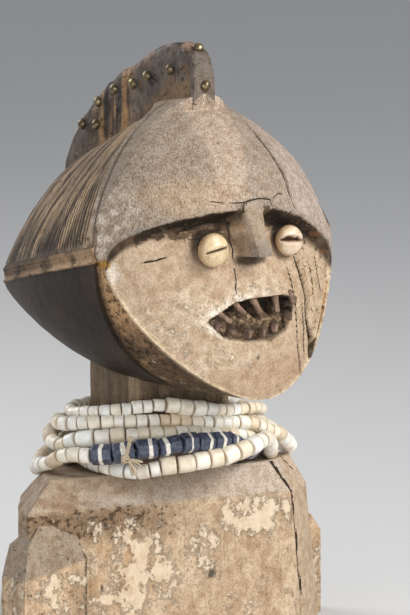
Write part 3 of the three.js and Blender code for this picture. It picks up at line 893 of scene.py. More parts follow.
def paint_crest(coat, noise, flakes, head, zones):
    _, y, z = head.T
    coat((0.085, 0.064, 0.05))
    coat((0.17, 0.145, 0.12), flakes((8, 8, 12), 0.36, 91, 0.15) * 0.8)
    coat((0.19, 0.105, 0.06), flakes((4, 5, 7), 0.34, 92, 0.08) * 0.85)
    coat((0.03, 0.022, 0.018), flakes((3, 4, 6), 0.25, 97, 0.06) * 0.8)
    streaks = noise((20, 2.6, 40), 93)
    eroded = ramp(14, 24, y) * ramp(62, 48, y)
    coat((0.56, 0.34, 0.15), eroded * (0.35 + 0.9 * noise((6, 6, 7), 96)) * ramp(0.5, 0.6, streaks))
    coat((0.03, 0.022, 0.018), eroded * ramp(0.42, 0.34, streaks))
    coat((0.24, 0.155, 0.08), ramp(12, 2, z - ridge_z(y)) * (0.3 + 0.7 * ramp(10, -10, y)))
    coat((0.13, 0.105, 0.085), ramp(62, 76, y) * 0.7)
    coat((0.17, 0.145, 0.125), ramp(CREST_FRONT_Y + 5, CREST_FRONT_Y + 3, y) * 0.85)
    coat((0.46, 0.36, 0.28), ramp(323.5, 321.5, z) * ramp(-34, -38, y))
    worn_top = ramp(5, 1, crest_top(y) - z) * ramp(30, 8, y) * flakes((6, 6, 4), 0.5, 95)
    coat((0.42, 0.27, 0.18), worn_top * 0.9)
    coat((0.50, 0.38, 0.26), ramp(0.9, 0.97, grain(head, (1.8, 1.8, 2.6), 94)) * 0.8)


HEAD_COATS = {
    "under": paint_under, "bevel": paint_bevel, "forehead": paint_forehead, "hair": paint_hair,
    "off_crest": paint_crease, "hair_front": paint_hairline, "bare_lip": paint_lip, "plate": paint_face,
    "anywhere": paint_ochre_spot, "plate_off_nose": paint_under_brow, "facing": paint_sockets,
    "nose": paint_nose, "mouth": paint_mouth, "crest": paint_crest,
}

# Old cream coat on the chest, as the middle, reach and share of each field
FLAKE_FIELDS = [
    ((-45, 70), (33, 9), 0.55), ((42, 72), (27, 12), 0.8), ((-34, 46), (26, 26), 0.72),
    ((4, 55), (16, 20), 0.5), ((-56, 18), (18, 24), 0.6),
]


def cream_share(points):
    """How much of the old cream coat is left on the chest and arms, from 0 to 1."""
    x, y, z = points.T
    front = ramp(-28, -34, y) * ramp(CHEST_EDGE_Z + 3, CHEST_EDGE_Z, z)
    total = 0.16 * front
    for centre, size, share in FLAKE_FIELDS:
        area = patch(x, z, centre, size, 0.7) * (0.55 + 0.75 * rough_noise(points, 14, 121))
        total = np.maximum(total, front * np.clip(area, 0, 1) * share)
    return total


def body_zones(points, part):
    """Masks of the parts of the neck, chest and arms."""
    x, y, z = points.T
    neck, chest, arm = ((part == PARTS[name]).astype(float) for name in ("neck", "chest", "arm"))
    shoulder = np.interp(x, (-118, -76), (45, 56))
    return {
        "neck": neck, "chest": chest, "arm": arm,
        "chest_front": chest * ramp(-28, -34, y) * ramp(CHEST_EDGE_Z + 1, CHEST_EDGE_Z - 0.5, z),
        "chamfer": chest * ramp(CHEST_EDGE_Z - 0.4, CHEST_EDGE_Z + 1, z),
        "chest_side": chest * ramp(69, 74, x - CHEST_FLARE * (CHEST_EDGE_Z - z)),
        "shoulder": arm * (x < 0) * ramp(-1, 1.5, z - shoulder),
        # Painted shade where the right arm meets the chest
        "arm_joint": arm * ramp(-78.2, -76.8, x) * (x < 0) * (z < 60),
    }


def paint_neck(coat, noise, flakes, points, zones):
    coat((0.23, 0.165, 0.105))
    coat((0.12, 0.085, 0.055), flakes((3, 3, 40), 0.45, 101, 0.15) * 0.8)
    # Painted highlight on the neck's front chamfers
    corner = (np.abs(points[:, 0]) > NECK_HALF_WIDTH - NECK_CHAMFER - 0.5)
    corner &= points[:, 1] < NECK_FRONT_Y + NECK_CHAMFER + 0.5
    coat((0.36, 0.27, 0.18), corner * 0.8)


def paint_chest(coat, noise, flakes, points, zones):
    coat((0.48, 0.36, 0.25))
    coat((0.34, 0.245, 0.165), noise((9, 9, 40), 111))


def paint_chest_front(coat, noise, flakes, points, zones):
    x, _, z = points.T
    coat((0.66, 0.515, 0.365))
    coat((0.48, 0.345, 0.225), flakes((10, 9, 18), 0.45, 112, 0.25) * 0.75)
    coat((0.22, 0.14, 0.08), ramp(60, 74, z + 9 * (noise(9, 113) - 0.5)) * ramp(26, -60, x) * 0.85)
    coat((0.46, 0.27, 0.13), patch(x, z, (-50, 46), (22, 24)) * flakes((7, 7, 12), 0.5, 114, 0.2) * 0.8)
    coat((0.26, 0.25, 0.19), flakes((2, 6, 9), 0.16, 116) * patch(x, z, (37, 60), (9, 18)) * 0.8)
    coat((0.10, 0.085, 0.06), patch(x, z, (12.7, 39), (3.2, 2.9), 0.3))
    coat((0.02, 0.014, 0.01), patch(x, z, (-62, 36.3), (1.1, 1.4), 0.3))


def paint_chamfer(coat, noise, flakes, points, zones):
    x, _, z = points.T
    coat((0.48, 0.385, 0.295))
    coat((0.35, 0.25, 0.17), flakes((14, 9, 5), 0.4, 117, 0.2) * ramp(10, -60, x))
    coat((0.46, 0.40, 0.34), ramp(94, 86, z) * patch(x, z, (-28, 86), (42, 8)) * 0.8)
    coat((0.60, 0.51, 0.43), ramp(0, 40, x) * 0.7)


def paint_chest_side(coat, noise, flakes, points, zones):
    coat((0.56, 0.44, 0.32), ramp(20, -30, points[:, 1]))


# Splits down the chest's corner: width, depth and route
CHEST_CRACKS = [
    (1.3, 2.4, [(60, 102), (69.5, 85), (73, 74), (79, 27), (80.5, 0)]),
    (0.9, 1.2, [(73.5, 102), (84, 92)]),
]


def chest_split(points):
    """Depth of the splits down the chest's corner, measured across x and z."""
    x, y, z = np.moveaxis(points, -1, 0)
    total = np.zeros(x.shape)
    for width, depth, route in CHEST_CRACKS:
        for start, end in zip(route, route[1:]):
            distance, _ = line_distance(x, z, start, end)
            total = np.maximum(total, (y < -5) * depth * np.exp(-(distance / width) ** 2))
    return total


def paint_arms(coat, noise, flakes, points, zones):
    coat((0.66, 0.49, 0.33))
    coat((0.40, 0.28, 0.18), flakes((5, 5, 34), 0.4, 131, 0.15) * 0.8)


def paint_shoulder(coat, noise, flakes, points, zones):
    coat((0.33, 0.27, 0.21))
    coat((0.40, 0.315, 0.23), noise(7, 133))


def paint_arm_join_shade(coat, noise, flakes, points, zones):
    # Painted shade in the corner between the right arm and the chest
    coat((0.04, 0.028, 0.018))


BODY_COATS = {
    "neck": paint_neck, "chest": paint_chest, "chest_front": paint_chest_front, "chamfer": paint_chamfer,
    "chest_side": paint_chest_side, "arm": paint_arms, "shoulder": paint_shoulder,
    "arm_joint": paint_arm_join_shade,
}


def head_shares(head, zones):
    """How much of each kind of wear the wood of the head has, for its material."""
    x, y, z = head.T
    plate, bevel, crest, hair = (zones[name] for name in ("plate", "bevel", "crest", "hair"))
    depth = inside_mouth(x, z)
    clay = plate * clay_cover(x, z) * (depth < 0) * (y < -30)
    front = (plate + zones["forehead"] > 0.5) & (y < -20)
    signed, apart = crack_field(x, z)
    chips = [0.9 * plate * crumbled(x, z) * (np.abs(x) > 12), 0.7 * plate * ramp(0, 1.5, depth),
             0.2 * plate * ramp(32, 42, x), 0.03 * plate, 0.36 * bevel, 0.2 * zones["lip"],
             0.24 * crest, 0.14 * hair]
    return {
        "Polish": np.maximum(zones["under"] * 0.7, crest * 0.9) + 0.15 * hair,
        "Fibre": 0.1 + 0.5 * bevel + 0.4 * crest,
        "Speckle": zones["forehead"] + 0.15 * plate,
        "Cream": 0.14 * bevel + 0.34 * clay,
        "Crack": np.where(front, signed, FAR),
        "Near": np.where(front, apart, FAR),
        "Chip": np.maximum.reduce(chips),
    }


def body_shares(points, zones):
    """How much of each kind of wear the wood of the neck, chest and arms has."""
    x, _, z = points.T
    neck, chest, arm = zones["neck"], zones["chest"], zones["arm"]
    stain = ramp(58, 74, z) * ramp(26, -60, x) * (z < CHEST_EDGE_Z)
    return {
        "Polish": 0.4 * neck,
        "Fibre": 0.3 + 0.5 * neck,
        "Speckle": 0 * neck,
        "Cream": chest * cream_share(points) + arm * 0.4 * ramp(60, 44, z),
        "Crack": np.where(chest, 3 - 2.4 * np.clip(chest_split(points), 0, 1.2), FAR),
        "Near": np.where(chest, 0, FAR),
        "Chip": chest * (0.04 + 0.4 * stain) + 0.12 * arm,
    }


def figure_paint(points, part):
    """Colour and shares of wear at every point of the figure, in millimetres."""
    tint = np.zeros_like(points)
    body = body_zones(points, part)
    paint(tint, points, body, BODY_COATS)
    shares = body_shares(points, body)

    is_head = part < PARTS["neck"]
    head = points[is_head] @ HEAD_MATRIX.T
    zones = head_zones(head, part[is_head])
    head_tint = np.tile((0.08, 0.06, 0.045), (len(head), 1))
    paint(head_tint, head, zones, HEAD_COATS)
    tint[is_head] = head_tint
    for name, values in head_shares(head, zones).items():
        shares[name][is_head] = values
    return shares, tint


# Materials
class Nodes:
    """Short names for the nodes of one material."""

    def __init__(self, name):
        self.material = bpy.data.materials.new(name)
        self.material.use_nodes = True
        self.tree = self.material.node_tree
        self.shader = self.tree.nodes["Principled BSDF"]

    def feed(self, socket, value):
        """Gives a socket a plain number or colour, or the output of another node."""
        if isinstance(value, bpy.types.NodeSocket):
            self.tree.links.new(value, socket)
        else:
            socket.default_value = (*value, 1) if socket.type == "RGBA" else value

    def node(self, kind, inputs, output=0, **settings):
        """Output of a new node with its inputs and settings."""
        node = self.tree.nodes.new(f"ShaderNode{kind}")
        for name, value in settings.items():
            setattr(node, name, value)
        for name, value in inputs.items():
            self.feed(node.inputs[name], value)
        return node.outputs[output]

    def attribute(self, name, output="Fac"):
        return self.node("Attribute", {}, output, attribute_name=name)

    def noise(self, size, detail=4, stretch=(1, 1, 1), rough=0.6):
        """Noise whose blotches are about size wide, in metres."""
        place = self.node("TexCoord", {}, "Object")
        place = self.node("Mapping", {"Vector": place, "Scale": stretch})
        inputs = {"Vector": place, "Scale": 1 / size, "Detail": detail, "Roughness": rough}
        return self.node("TexNoise", inputs, "Fac")

    def range(self, value, low, high, to_low=0, to_high=1):
        limits = {"From Min": low, "From Max": high, "To Min": to_low, "To Max": to_high}
        return self.node("MapRange", {"Value": value, **limits})

    def maths(self, operation, a, b=0):
        return self.node("Math", {0: a, 1: b}, operation=operation)

    def times(self, a, b):
        return self.maths("MULTIPLY", a, b)

    def plus(self, a, b):
        return self.maths("ADD", a, b)

    def blend(self, mode, a, b, factor):
        """Mixes two colours, each a socket or a plain colour."""
        return self.node("Mix", {0: factor, 6: a, 7: b}, 2, data_type="RGBA", blend_type=mode)

    def relief(self, *layers):
        """Bends the shader's normal by the height of each layer, over its distance in metres."""
        below = {}
        for height, distance in layers:
            below = {"Normal": self.node("Bump", {"Height": height, "Distance": distance, **below})}
        self.set("Normal", below["Normal"])

    def set(self, name, value):
        self.feed(self.shader.inputs[name], value)


def wood_material():
    n = Nodes("worn_wood")
    names = ("Polish", "Fibre", "Speckle", "Cream", "Groove", "Crack", "Near", "Chip")
    polish, fibre, speckle, cream, groove, crack, near, chip = map(n.attribute, names)
    fine = n.noise(0.0011, 3, rough=0.7)
    mottle = n.noise(0.006)
    grain_lines = n.noise(0.0016, 4, (1, 1, 0.09))
    short_marks = n.noise(0.0009, 3, (1, 0.7, 0.5))
    groove_shade = n.plus(groove, n.times(fine, 0.2))
    colour = n.attribute("Tint", "Color")
    for mode, tone, amount in (
        ("MULTIPLY", (0.66, 0.63, 0.59), n.range(fine, 0.60, 0.36)),
        ("MULTIPLY", (0.60, 0.56, 0.51), n.times(speckle, n.range(short_marks, 0.50, 0.38, 0, 0.9))),
        ("ADD", (0.11, 0.09, 0.07), n.times(speckle, n.range(short_marks, 0.56, 0.70, 0, 0.8))),
        ("MULTIPLY", (0.78, 0.73, 0.67), n.range(mottle, 0.55, 0.38)),
        ("MULTIPLY", (0.55, 0.49, 0.42), n.times(fibre, n.range(grain_lines, 0.50, 0.34))),
        # Painted shade in the hair's grooves, darkest at their bottoms
        ("MIX", (0.035, 0.026, 0.018), n.range(groove_shade, 0.2, 0.62, 0, 0.93)),
    ):
        colour = n.blend(mode, colour, tone, amount)
    chips = n.noise(0.0048, 9, (1, 1, 1.5), 0.74)
    gone = n.range(n.plus(chips, n.times(chip, 0.22)), 0.63, 0.67)
    gone = n.times(gone, n.range(chip, 0.02, 0.1))
    flakes = n.noise(0.0085, 9, (1, 1, 0.8), 0.72)
    left = n.range(n.plus(flakes, n.times(cream, 0.34)), 0.64, 0.70)
    left = n.times(left, n.range(cream, 0.02, 0.08))
    coat = n.blend("MIX", (0.80, 0.68, 0.52), (0.62, 0.49, 0.34), n.range(mottle, 0.42, 0.62))
    colour = n.blend("MIX", colour, coat, n.times(left, 0.64))
    bare = n.blend("MULTIPLY", colour, (0.30, 0.25, 0.20), 1)
    colour = n.blend("MIX", colour, bare, n.times(gone, 0.85))
    # Painted shade in the cracks: a near-black line along each split
    ragged = n.times(n.plus(n.noise(0.0022, 5, rough=0.7), -0.5), 1.2)
    across = n.maths("ABSOLUTE", n.plus(crack, ragged))
    split = n.times(n.range(across, 0.95, 0.55), n.range(near, 3.2, 2.4))
    n.set("Base Color", n.blend("MIX", colour, (0.028, 0.018, 0.011), split))
    shine = n.plus(n.times(polish, -0.55), n.times(fine, 0.25))
    n.set("Roughness", n.range(shine, -0.5, 0.25, 0.38, 0.95))
    n.set("Specular IOR Level", 0.28)
    n.relief((n.times(fibre, n.range(grain_lines, 0.3, 0.6)), 0.0006), (fine, 0.0003),
             (n.maths("SUBTRACT", left, n.plus(gone, split)), 0.0006),
             (n.times(speckle, short_marks), 0.0007), (mottle, 0.0008))
    return n.material


def dress(ob, node, slot, *materials, sharp=38):
    """Gives a new piece its materials and puts it in the place of a node."""
    ob.data.materials.clear()
    for material in materials:
        ob.data.materials.append(material)
    ob.data.shade_smooth()
    ob.data.set_sharp_from_angle(angle=math.radians(sharp))
    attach(ob, "root")
    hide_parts(node)


def carved_figure():
    ob = figure_object()
    ob.name = "carved_figure"
    mesh = ob.data
    part = np.round(over_seams(mesh, get_numbers(mesh, "Part"))).astype(int)
    shares, tint = figure_paint(mesh_points(mesh) / MM, part)
    set_colours(mesh, "Tint", tint)
    for name, values in shares.items():
        set_numbers(mesh, name, values)
    dress(ob, "figure", "wood", wood_material())


carved_figure()


# Small pieces
def circle(axis, angles):
    """Points at the given angles on a circle of radius 1 square to an axis."""
    across = np.cross(axis, (0, 0, 1.0))
    if np.linalg.norm(across) < 0.1:
        across = np.cross(axis, (1.0, 0, 0))
    across = across / np.linalg.norm(across)
    return np.cos(angles)[:, None] * across + np.sin(angles)[:, None] * np.cross(across, axis)


def swept(route, radii, sides, spin=0.0):
    """Rings of points along a route."""
    angles = spin + np.arange(sides) * 2 * math.pi / sides
    along = np.gradient(route, axis=0)
    along /= np.linalg.norm(along, axis=1, keepdims=True)
    return np.vstack([centre + r * circle(axis, angles) for centre, axis, r in zip(route, along, radii)])


def node_points(name):
    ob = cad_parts[name]
    return np.array([ob.matrix_world @ vertex.co for vertex in ob.data.vertices]) / MM


def small_piece(name, node, finish, sharp, points, faces, base, coats):
    """Piece in the place of a node, with its material, its base colour and the coats over it. The slot in
    its finish is not used.
    """
    ob = mesh_piece(name, points, faces)
    tint = np.tile(base, (len(points), 1))
    for colour, mask in coats:
        lay(tint, colour, mask)
    set_colours(ob.data, "Tint", tint)
    dress(ob, node, *finish, sharp=sharp)


def tinted_material(name, roughness, fine_size, dirt, bump, coat=0.0, metal=0.0):
    """Material of a small piece, from its stored tint with fine specks of dirt."""
    n = Nodes(name)
    specks = n.noise(fine_size, 4, rough=0.65)
    broad = n.noise(fine_size * 6, 3)
    colour = n.blend("MULTIPLY", n.attribute("Tint", "Color"), dirt, n.range(specks, 0.50, 0.36))
    n.set("Base Color", n.blend("MULTIPLY", colour, (0.86, 0.83, 0.78), n.range(broad, 0.55, 0.4)))
    n.set("Roughness", n.range(specks, 0.35, 0.65, roughness + 0.12, roughness - 0.05))
    n.set("Metallic", metal)
    n.set("Coat Weight", coat)
    n.set("Coat Roughness", 0.25)
    n.relief((specks, bump), (broad, bump * 4))
    return n.material


# Shells
COWRIE_WEAR = {
    "right": {"size": (10.0, 7.0, 10.2), "tilt": 0.16, "width": 0.62, "broken": 0},
    "left": {"size": (9.0, 6.2, 9.2), "tilt": -0.1, "width": 0.7, "broken": 1},
}


def cowrie(side, rings=56, sides=76):
    """Shell seen from its toothed underside, with the slit across."""
    wear = COWRIE_WEAR[side]
    size, tilt, broken = wear["size"], wear["tilt"], wear["broken"]
    polar = np.linspace(0.01, math.pi - 0.01, rings)[:, None]
    turn = np.linspace(0, 2 * math.pi, sides, endpoint=False)[None, :]
    x = np.sin(polar) * np.cos(turn) * size[0]
    z = np.sin(polar) * np.sin(turn) * size[2]
    y = -np.cos(polar) * size[1] * np.ones_like(turn)
    along = x * math.cos(tilt) + z * math.sin(tilt)
    off = z * math.cos(tilt) - x * math.sin(tilt) - 0.9 + 0.012 * along ** 2
    front = ramp(1.9, 1.2, polar)
    reach = ramp(9.0, 7.0, np.abs(along))
    slit = bell(off, 0, wear["width"]) * reach
    lips = bell(np.abs(off), 2.6, 1.7) * reach
    teeth = np.cos(math.pi * along / 1.55) ** 2 * bell(np.abs(off), 1.9, 1.2) * reach
    hollow = broken * bell(along, -3.4, 3.0) * bell(off, 0.6, 1.7)
    hollow = hollow + broken * bell(along, 2.6, 1.3) * bell(off, 0.4, 1.2)
    chipped = broken * ramp(0.45, 0.75, rough_noise(np.stack([x, y, z], -1), 3.4, 141))
    chipped = chipped * bell(along, 0, 5.5) * bell(off, 2.6, 2.6)
    y = y + front * (2.6 * slit - 0.55 * lips + 0.3 * teeth + 3.0 * hollow + 0.9 * chipped)
    place = np.stack([x, y, z], axis=-1).reshape(-1, 3)
    # Painted shade in the slit, between the teeth and in the broken hollows, and on the chips
    dark = front * (slit * 1.1 + hollow * 1.3 + 0.25 * teeth + 0.5 * chipped)
    coats = [
        # Lighter patches over the shell: painted highlights
        ((0.78, 0.66, 0.46), rough_noise(place, 5, 142) * 1.2 - 0.2),
        ((0.60, 0.38, 0.19), ramp(0.62, 0.8, rough_noise(place, 4, 143 + broken)) * 0.8),
        ((0.78, 0.64, 0.54), np.full(len(place), 0.6 * broken)),
        ((0.42, 0.27, 0.14), ramp(size[2] - 1.8, size[2], np.hypot(place[:, 0], place[:, 2])) * 0.8),
        ((0.34, 0.20, 0.13), chipped.ravel()),
        # Painted shade from the mask above
        ((0.13, 0.07, 0.042) if broken else (0.05, 0.03, 0.018), dark.ravel()),
    ]
    small_piece(f"shell_eye_{side}", f"cowrie_{side}", ("shell", shell_material), 60,
                (place + EYES[side]) @ HEAD_MATRIX, ring_faces(rings, sides), (0.66, 0.50, 0.30), coats)


shell_material = tinted_material("worn_shell", 0.36, 0.0009, (0.78, 0.66, 0.5), 0.00008, 0.25)
for side in EYES:
    cowrie(side)


# Pegs
def peg(name, rings=16, sides=14):
    """Rough wooden peg along the length of the node that it replaces."""
    lower = "lower" in name
    points = node_points(name)
    centre = points.mean(axis=0)
    axis = np.linalg.svd(points - centre)[2][0]
    axis = axis * (1 if axis[2] < 0 else -1)
    run = (points - centre) @ axis
    off = np.linalg.norm(points - centre - run[:, None] * axis, axis=1)
    ends = off[run < run.min() + 0.1].max(), off[run > run.max() - 0.1].max()
    wide, narrow = reversed(ends) if lower else ends
    t = np.linspace(0, 1, rings)
    route = centre + np.outer(mix(run.min() - (2.4 if lower else 0), run.max(), t), axis)
    route[:, 0] += 0.5 * np.sin(t * 2.4 + points[0, 0])
    stub = 1.45 if lower else 1.08
    radii = mix(wide, narrow, t) * stub * np.where((t < 0.03) | (t > 0.97), 0.72, 1)
    place = swept(route, radii, sides, points[0, 0])
    split = rough_noise(place * (1, 1, 0.3), 1.6, 151) - 0.5
    outward = place - np.repeat(route, sides, axis=0)
    lumps = rough_noise(place, 2.8, 154) - 0.5
    place = place + outward * (split * 0.6 + lumps * 0.7)[:, None]
    coats = [
        ((0.36, 0.25, 0.18), ramp(0.45, 0.7, rough_noise(place, (1.2, 1.2, 4), 152)) * 0.9),
        ((0.10, 0.055, 0.04), ramp(0.5, 0.75, rough_noise(place, 2.4, 153)) * 0.8),
        ((0.05, 0.03, 0.022), np.repeat(ramp(0.12, 0.0, t), sides) * 0.8),
    ]
    small_piece(name.replace("peg", "tooth_peg"), name, ("peg", peg_material), 50, place,
                ring_faces(rings, sides), (0.12, 0.074, 0.05) if lower else (0.20, 0.128, 0.088), coats)


# Tacks
TACK_FACINGS = {
    "right": (-1, 0, 0), "left": (1, 0, 0), "front": (0, -1, 0), "back": (0, 1, 0), "top": (0, -0.51, 0.86),
}
TACK_PROFILE = [(3.3, 0), (3.42, 0.18), (3.38, 0.42), (3.2, 0.72), (2.95, 1.08), (2.55, 1.5), (2.0, 1.92),
                (1.35, 2.26), (0.7, 2.46), (0.2, 2.54)]


def tack(name, sides=28):
    """Domed tack with a thin rim, where the node that it replaces lies."""
    points = node_points(name)
    facing = np.array(TACK_FACINGS[name.split("_")[1]], float) @ HEAD_MATRIX
    facing /= np.linalg.norm(facing)
    height = points @ facing
    base = points[height < height.min() + 0.1].mean(axis=0)
    spokes = circle(facing, np.arange(sides) * 2 * math.pi / sides)
    place = np.vstack([base + spokes * r + facing * h for r, h in TACK_PROFILE])
    dent = 0.5 * (rough_noise(place, 2.2, 161) - 0.5)
    place = place + facing * dent[:, None]
    place[:sides] = base + spokes * TACK_PROFILE[0][0]
    coats = [
        ((0.42, 0.33, 0.18), ramp(0.5, 0.72, rough_noise(place, 2.5, 162)) * 0.7),
        ((0.02, 0.016, 0.012), np.repeat(ramp(0.8, 0.1, np.array(TACK_PROFILE)[:, 1]), sides) * 0.8),
    ]
    small_piece(name.replace("tack", "domed_tack"), name, ("brass", tack_material), 50, place,
                ring_faces(len(TACK_PROFILE), sides), (0.14, 0.11, 0.065), coats)


peg_material = tinted_material("dark_peg_wood", 0.75, 0.0005, (0.55, 0.45, 0.4), 0.0002)
tack_material = tinted_material("tarnished_brass", 0.27, 0.0007, (0.6, 0.55, 0.45), 0.00005, metal=0.75)
for name in sorted(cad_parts):
    if name.startswith("peg_"):
        peg(name)
    elif name.startswith("tack_"):
        tack(name)


# Bead strands
# Each has an ellipse round the neck and its heights at sixteen even turns. A bead is a length and a radius,
# and "large" starts with the two turns between which the larger beads lie.
STRANDS = {
    "beads_top": {
        "centre_x": 4, "reach": 62, "front": 36, "back": 41,
        "heights": [136, 138, 140.5, 142.5, 139, 135.5, 135, 131, 129, 130, 133, 135, 136, 136, 136, 136],
        "bead": (7.0, 3.9), "large": (0.185, 0.247, 9.0, 5.1),
    },
    "beads_second": {
        "centre_x": 9.7, "reach": 77, "front": 36.5, "back": 42,
        "heights": [131, 132, 133.2, 133, 129.5, 127.5, 119, 108, 104, 117, 129, 129, 128, 128, 128, 130],
        "bead": (7.0, 4.35),
    },
    "beads_third": {
        "centre_x": -4, "reach": 65, "front": 43, "back": 55,
        "heights": [117.5, 123, 125.5, 126.5, 125.5, 122, 119, 118, 119, 121, 121.5, *[122] * 3, 122.5, 119],
        "bead": (7.6, 4.5), "large": (0.03, 0.125, 10.0, 5.0),
    },
    "beads_blue": {
        "centre_x": -12, "reach": 68, "front": 54, "back": 46,
        "heights": [107, 115, 116, 119.5, 122.3, 120.5, 112, 109.5, 111, 114.5, *[117] * 3, 115, 108.5, 102],
        "bead": (7.6, 4.5), "large": (0.09, 0.62, 12.4, 5.9),
    },
    "beads_lower": {
        "centre_x": 4.5, "reach": 63.5, "front": 57, "back": 46,
        "heights": [112.4, 107, 104.4, 109.4, 111.3, 115.2, 118.5, *[107] * 9],
        "bead": (7.8, 4.6), "large": (0.165, 0.33, 9.6, 5.5),
    },
}
NO_LARGE_BEADS = (1, 0)
BEAD_TONES = [
    (0.92, 0.89, 0.82), (0.88, 0.82, 0.70), (0.80, 0.71, 0.56), (0.89, 0.90, 0.86), (0.72, 0.60, 0.44),
]
THREAD_TONE = (0.55, 0.46, 0.33)
THREAD_SIDES = 8
CORE_RADIUS = 0.9
TASSEL_RADIUS = 0.42
# Places of a strand's materials in its list
WHITE, BLUE, THREAD = range(3)


def both_ways(half, middle=()):
    """Profile along a bead from its first half, as (place along it, share of its radius)."""
    return [*half, *middle, *((-t, r) for t, r in reversed(half))]


ROUND_PROFILE = both_ways([(-0.5, 0.3), (-0.5, 0.78), (-0.485, 0.88), (-0.45, 0.95), (-0.39, 0.985),
                           (-0.2, 1.0)])
BANDED_PROFILE = both_ways([(-0.5, 0.3), (-0.5, 0.82), (-0.47, 0.93), (-0.42, 0.99)],
                           [(t, 1.0) for t in np.linspace(-0.36, 0.36, 9)])


def strand_route(row, steps=960):
    """Turns and points along the closed loop of a strand, from the figure's right side by its front."""
    turn = np.arange(steps + 1) / steps
    angle = 2 * math.pi * turn
    depth = np.where(np.sin(angle) > 0, row["front"], row["back"])
    step = turn * len(row["heights"])
    k = np.floor(step).astype(int)
    heights = np.array([*row["heights"], *row["heights"][:2]], float)
    z = mix(heights[k], heights[k + 1], ramp(0, 1, step - k))
    kernel = np.hanning(61)
    z = np.convolve(np.concatenate([z[-31:-1], z, z[1:31]]), kernel / kernel.sum(), "valid")
    return turn, np.column_stack([row["centre_x"] - row["reach"] * np.cos(angle), -depth * np.sin(angle), z])


def bead_places(row, draw):
    """Route of a strand, and each bead's middle, axis, length and radius, and whether it is a large one."""
    turn, route = strand_route(row)
    distance = travelled(route)
    low, high, *large_size = row.get("large", NO_LARGE_BEADS)
    beads = []
    at = 0.0
    while at < distance[-1]:
        large = bool(low <= np.interp(at, distance, turn) <= high)
        length, radius = large_size if large else row["bead"]
        length = length * draw.uniform(0.86, 1.14)
        radius = radius * draw.uniform(0.93, 1.05)
        beads.append({"middle": at + length / 2, "length": length, "radius": radius, "large": large})
        at += length
    fit = distance[-1] / at
    for bead in beads:
        middle = bead["middle"] * fit
        bead["centre"], ahead = at_length(route, [middle, middle + 1])
        ahead = ahead - bead["centre"]
        bead["axis"] = ahead / np.linalg.norm(ahead)
        bead["length"] *= fit * 0.965
    return route, beads


def jitter(draw, reach):
    return np.array([draw.uniform(-reach, reach) for _ in range(3)])


def bead_points(bead, profile, sides, draw, six_sided):
    """Rings of one bead, and the place along it of each point."""
    axis = bead["axis"] + jitter(draw, 0.07)
    axis /= np.linalg.norm(axis)
    even = np.arange(sides) * 2 * math.pi / sides
    angles = draw.uniform(0, 6) + even
    spokes = circle(axis, angles)
    if six_sided:
        corner = np.mod(even, math.pi / 3) - math.pi / 6
        spokes = spokes * (np.minimum(0.9 / np.cos(corner), 1.0) * 1.03)[:, None]
    slant = draw.uniform(-0.05, 0.05) * np.cos(angles)[:, None]
    rings = [bead["centre"] + spokes * r * bead["radius"] + axis * bead["length"] * (t + slant * np.sign(t))
             for t, r in profile]
    return np.vstack(rings), np.repeat([t for t, _ in profile], sides)


def strand(name):
    """Beads of one strand and the thread through them."""
    row = STRANDS[name]
    draw = random.Random(len(name) * 31 + row["front"])
    points, faces, tints, bands, kinds = [], [], [], [], []

    def add(place, rings, tint, band, kind, closed=False):
        sides = len(place) // rings
        start = sum(map(len, points))
        new = side_faces(rings, sides, start, True) if closed else ring_faces(rings, sides, start)
        points.append(place)
        faces.extend(new)
        kinds.extend([kind] * len(new))
        tints.append(np.broadcast_to(tint, place.shape))
        bands.append(np.broadcast_to(band, len(place)))

    route, beads = bead_places(row, draw)
    for bead in beads:
        banded = name == "beads_blue" and bead["large"]
        profile, sides = (BANDED_PROFILE, 24) if banded else (ROUND_PROFILE, 20)
        bead["centre"] = bead["centre"] + jitter(draw, 0.35)
        place, along = bead_points(bead, profile, sides, draw, banded)
        tone = np.array(draw.choices(BEAD_TONES, (4, 4, 2, 2, 1))[0]) * draw.uniform(0.9, 1.06)
        # Brownish bead ends: dirt, and painted shade in the gaps between the beads
        rim = ramp(0.40, 0.5, np.abs(along))[:, None]
        band = along - draw.choice((-0.2, 0.0, 0.16)) if banded else FAR
        dirt_and_gap_shade = mix(tone, (0.46, 0.36, 0.24), rim * 0.45)
        add(place, len(profile), dirt_and_gap_shade, band, BLUE if banded else WHITE)

    def add_thread(thread, radius, closed=False):
        place = swept(thread, np.full(len(thread), radius), THREAD_SIDES)
        add(place, len(thread), THREAD_TONE, FAR, THREAD, closed)

    add_thread(route[:-1:8], CORE_RADIUS, closed=True)
    for thread in knot_threads() if name == "beads_blue" else []:
        add_thread(thread, TASSEL_RADIUS)
    ob = mesh_piece(name.replace("beads", "strand"), np.vstack(points), faces)
    set_colours(ob.data, "Tint", np.vstack(tints))
    set_numbers(ob.data, "Band", np.concatenate(bands))
    slot_name = "blue_glass" if name == "beads_blue" else "white_glass"
    dress(ob, name, slot_name, white_glass, blue_glass, thread_material)
    ob.data.polygons.foreach_set("material_index", kinds)


KNOT = np.array([-54.0, -52.5, 115.0])


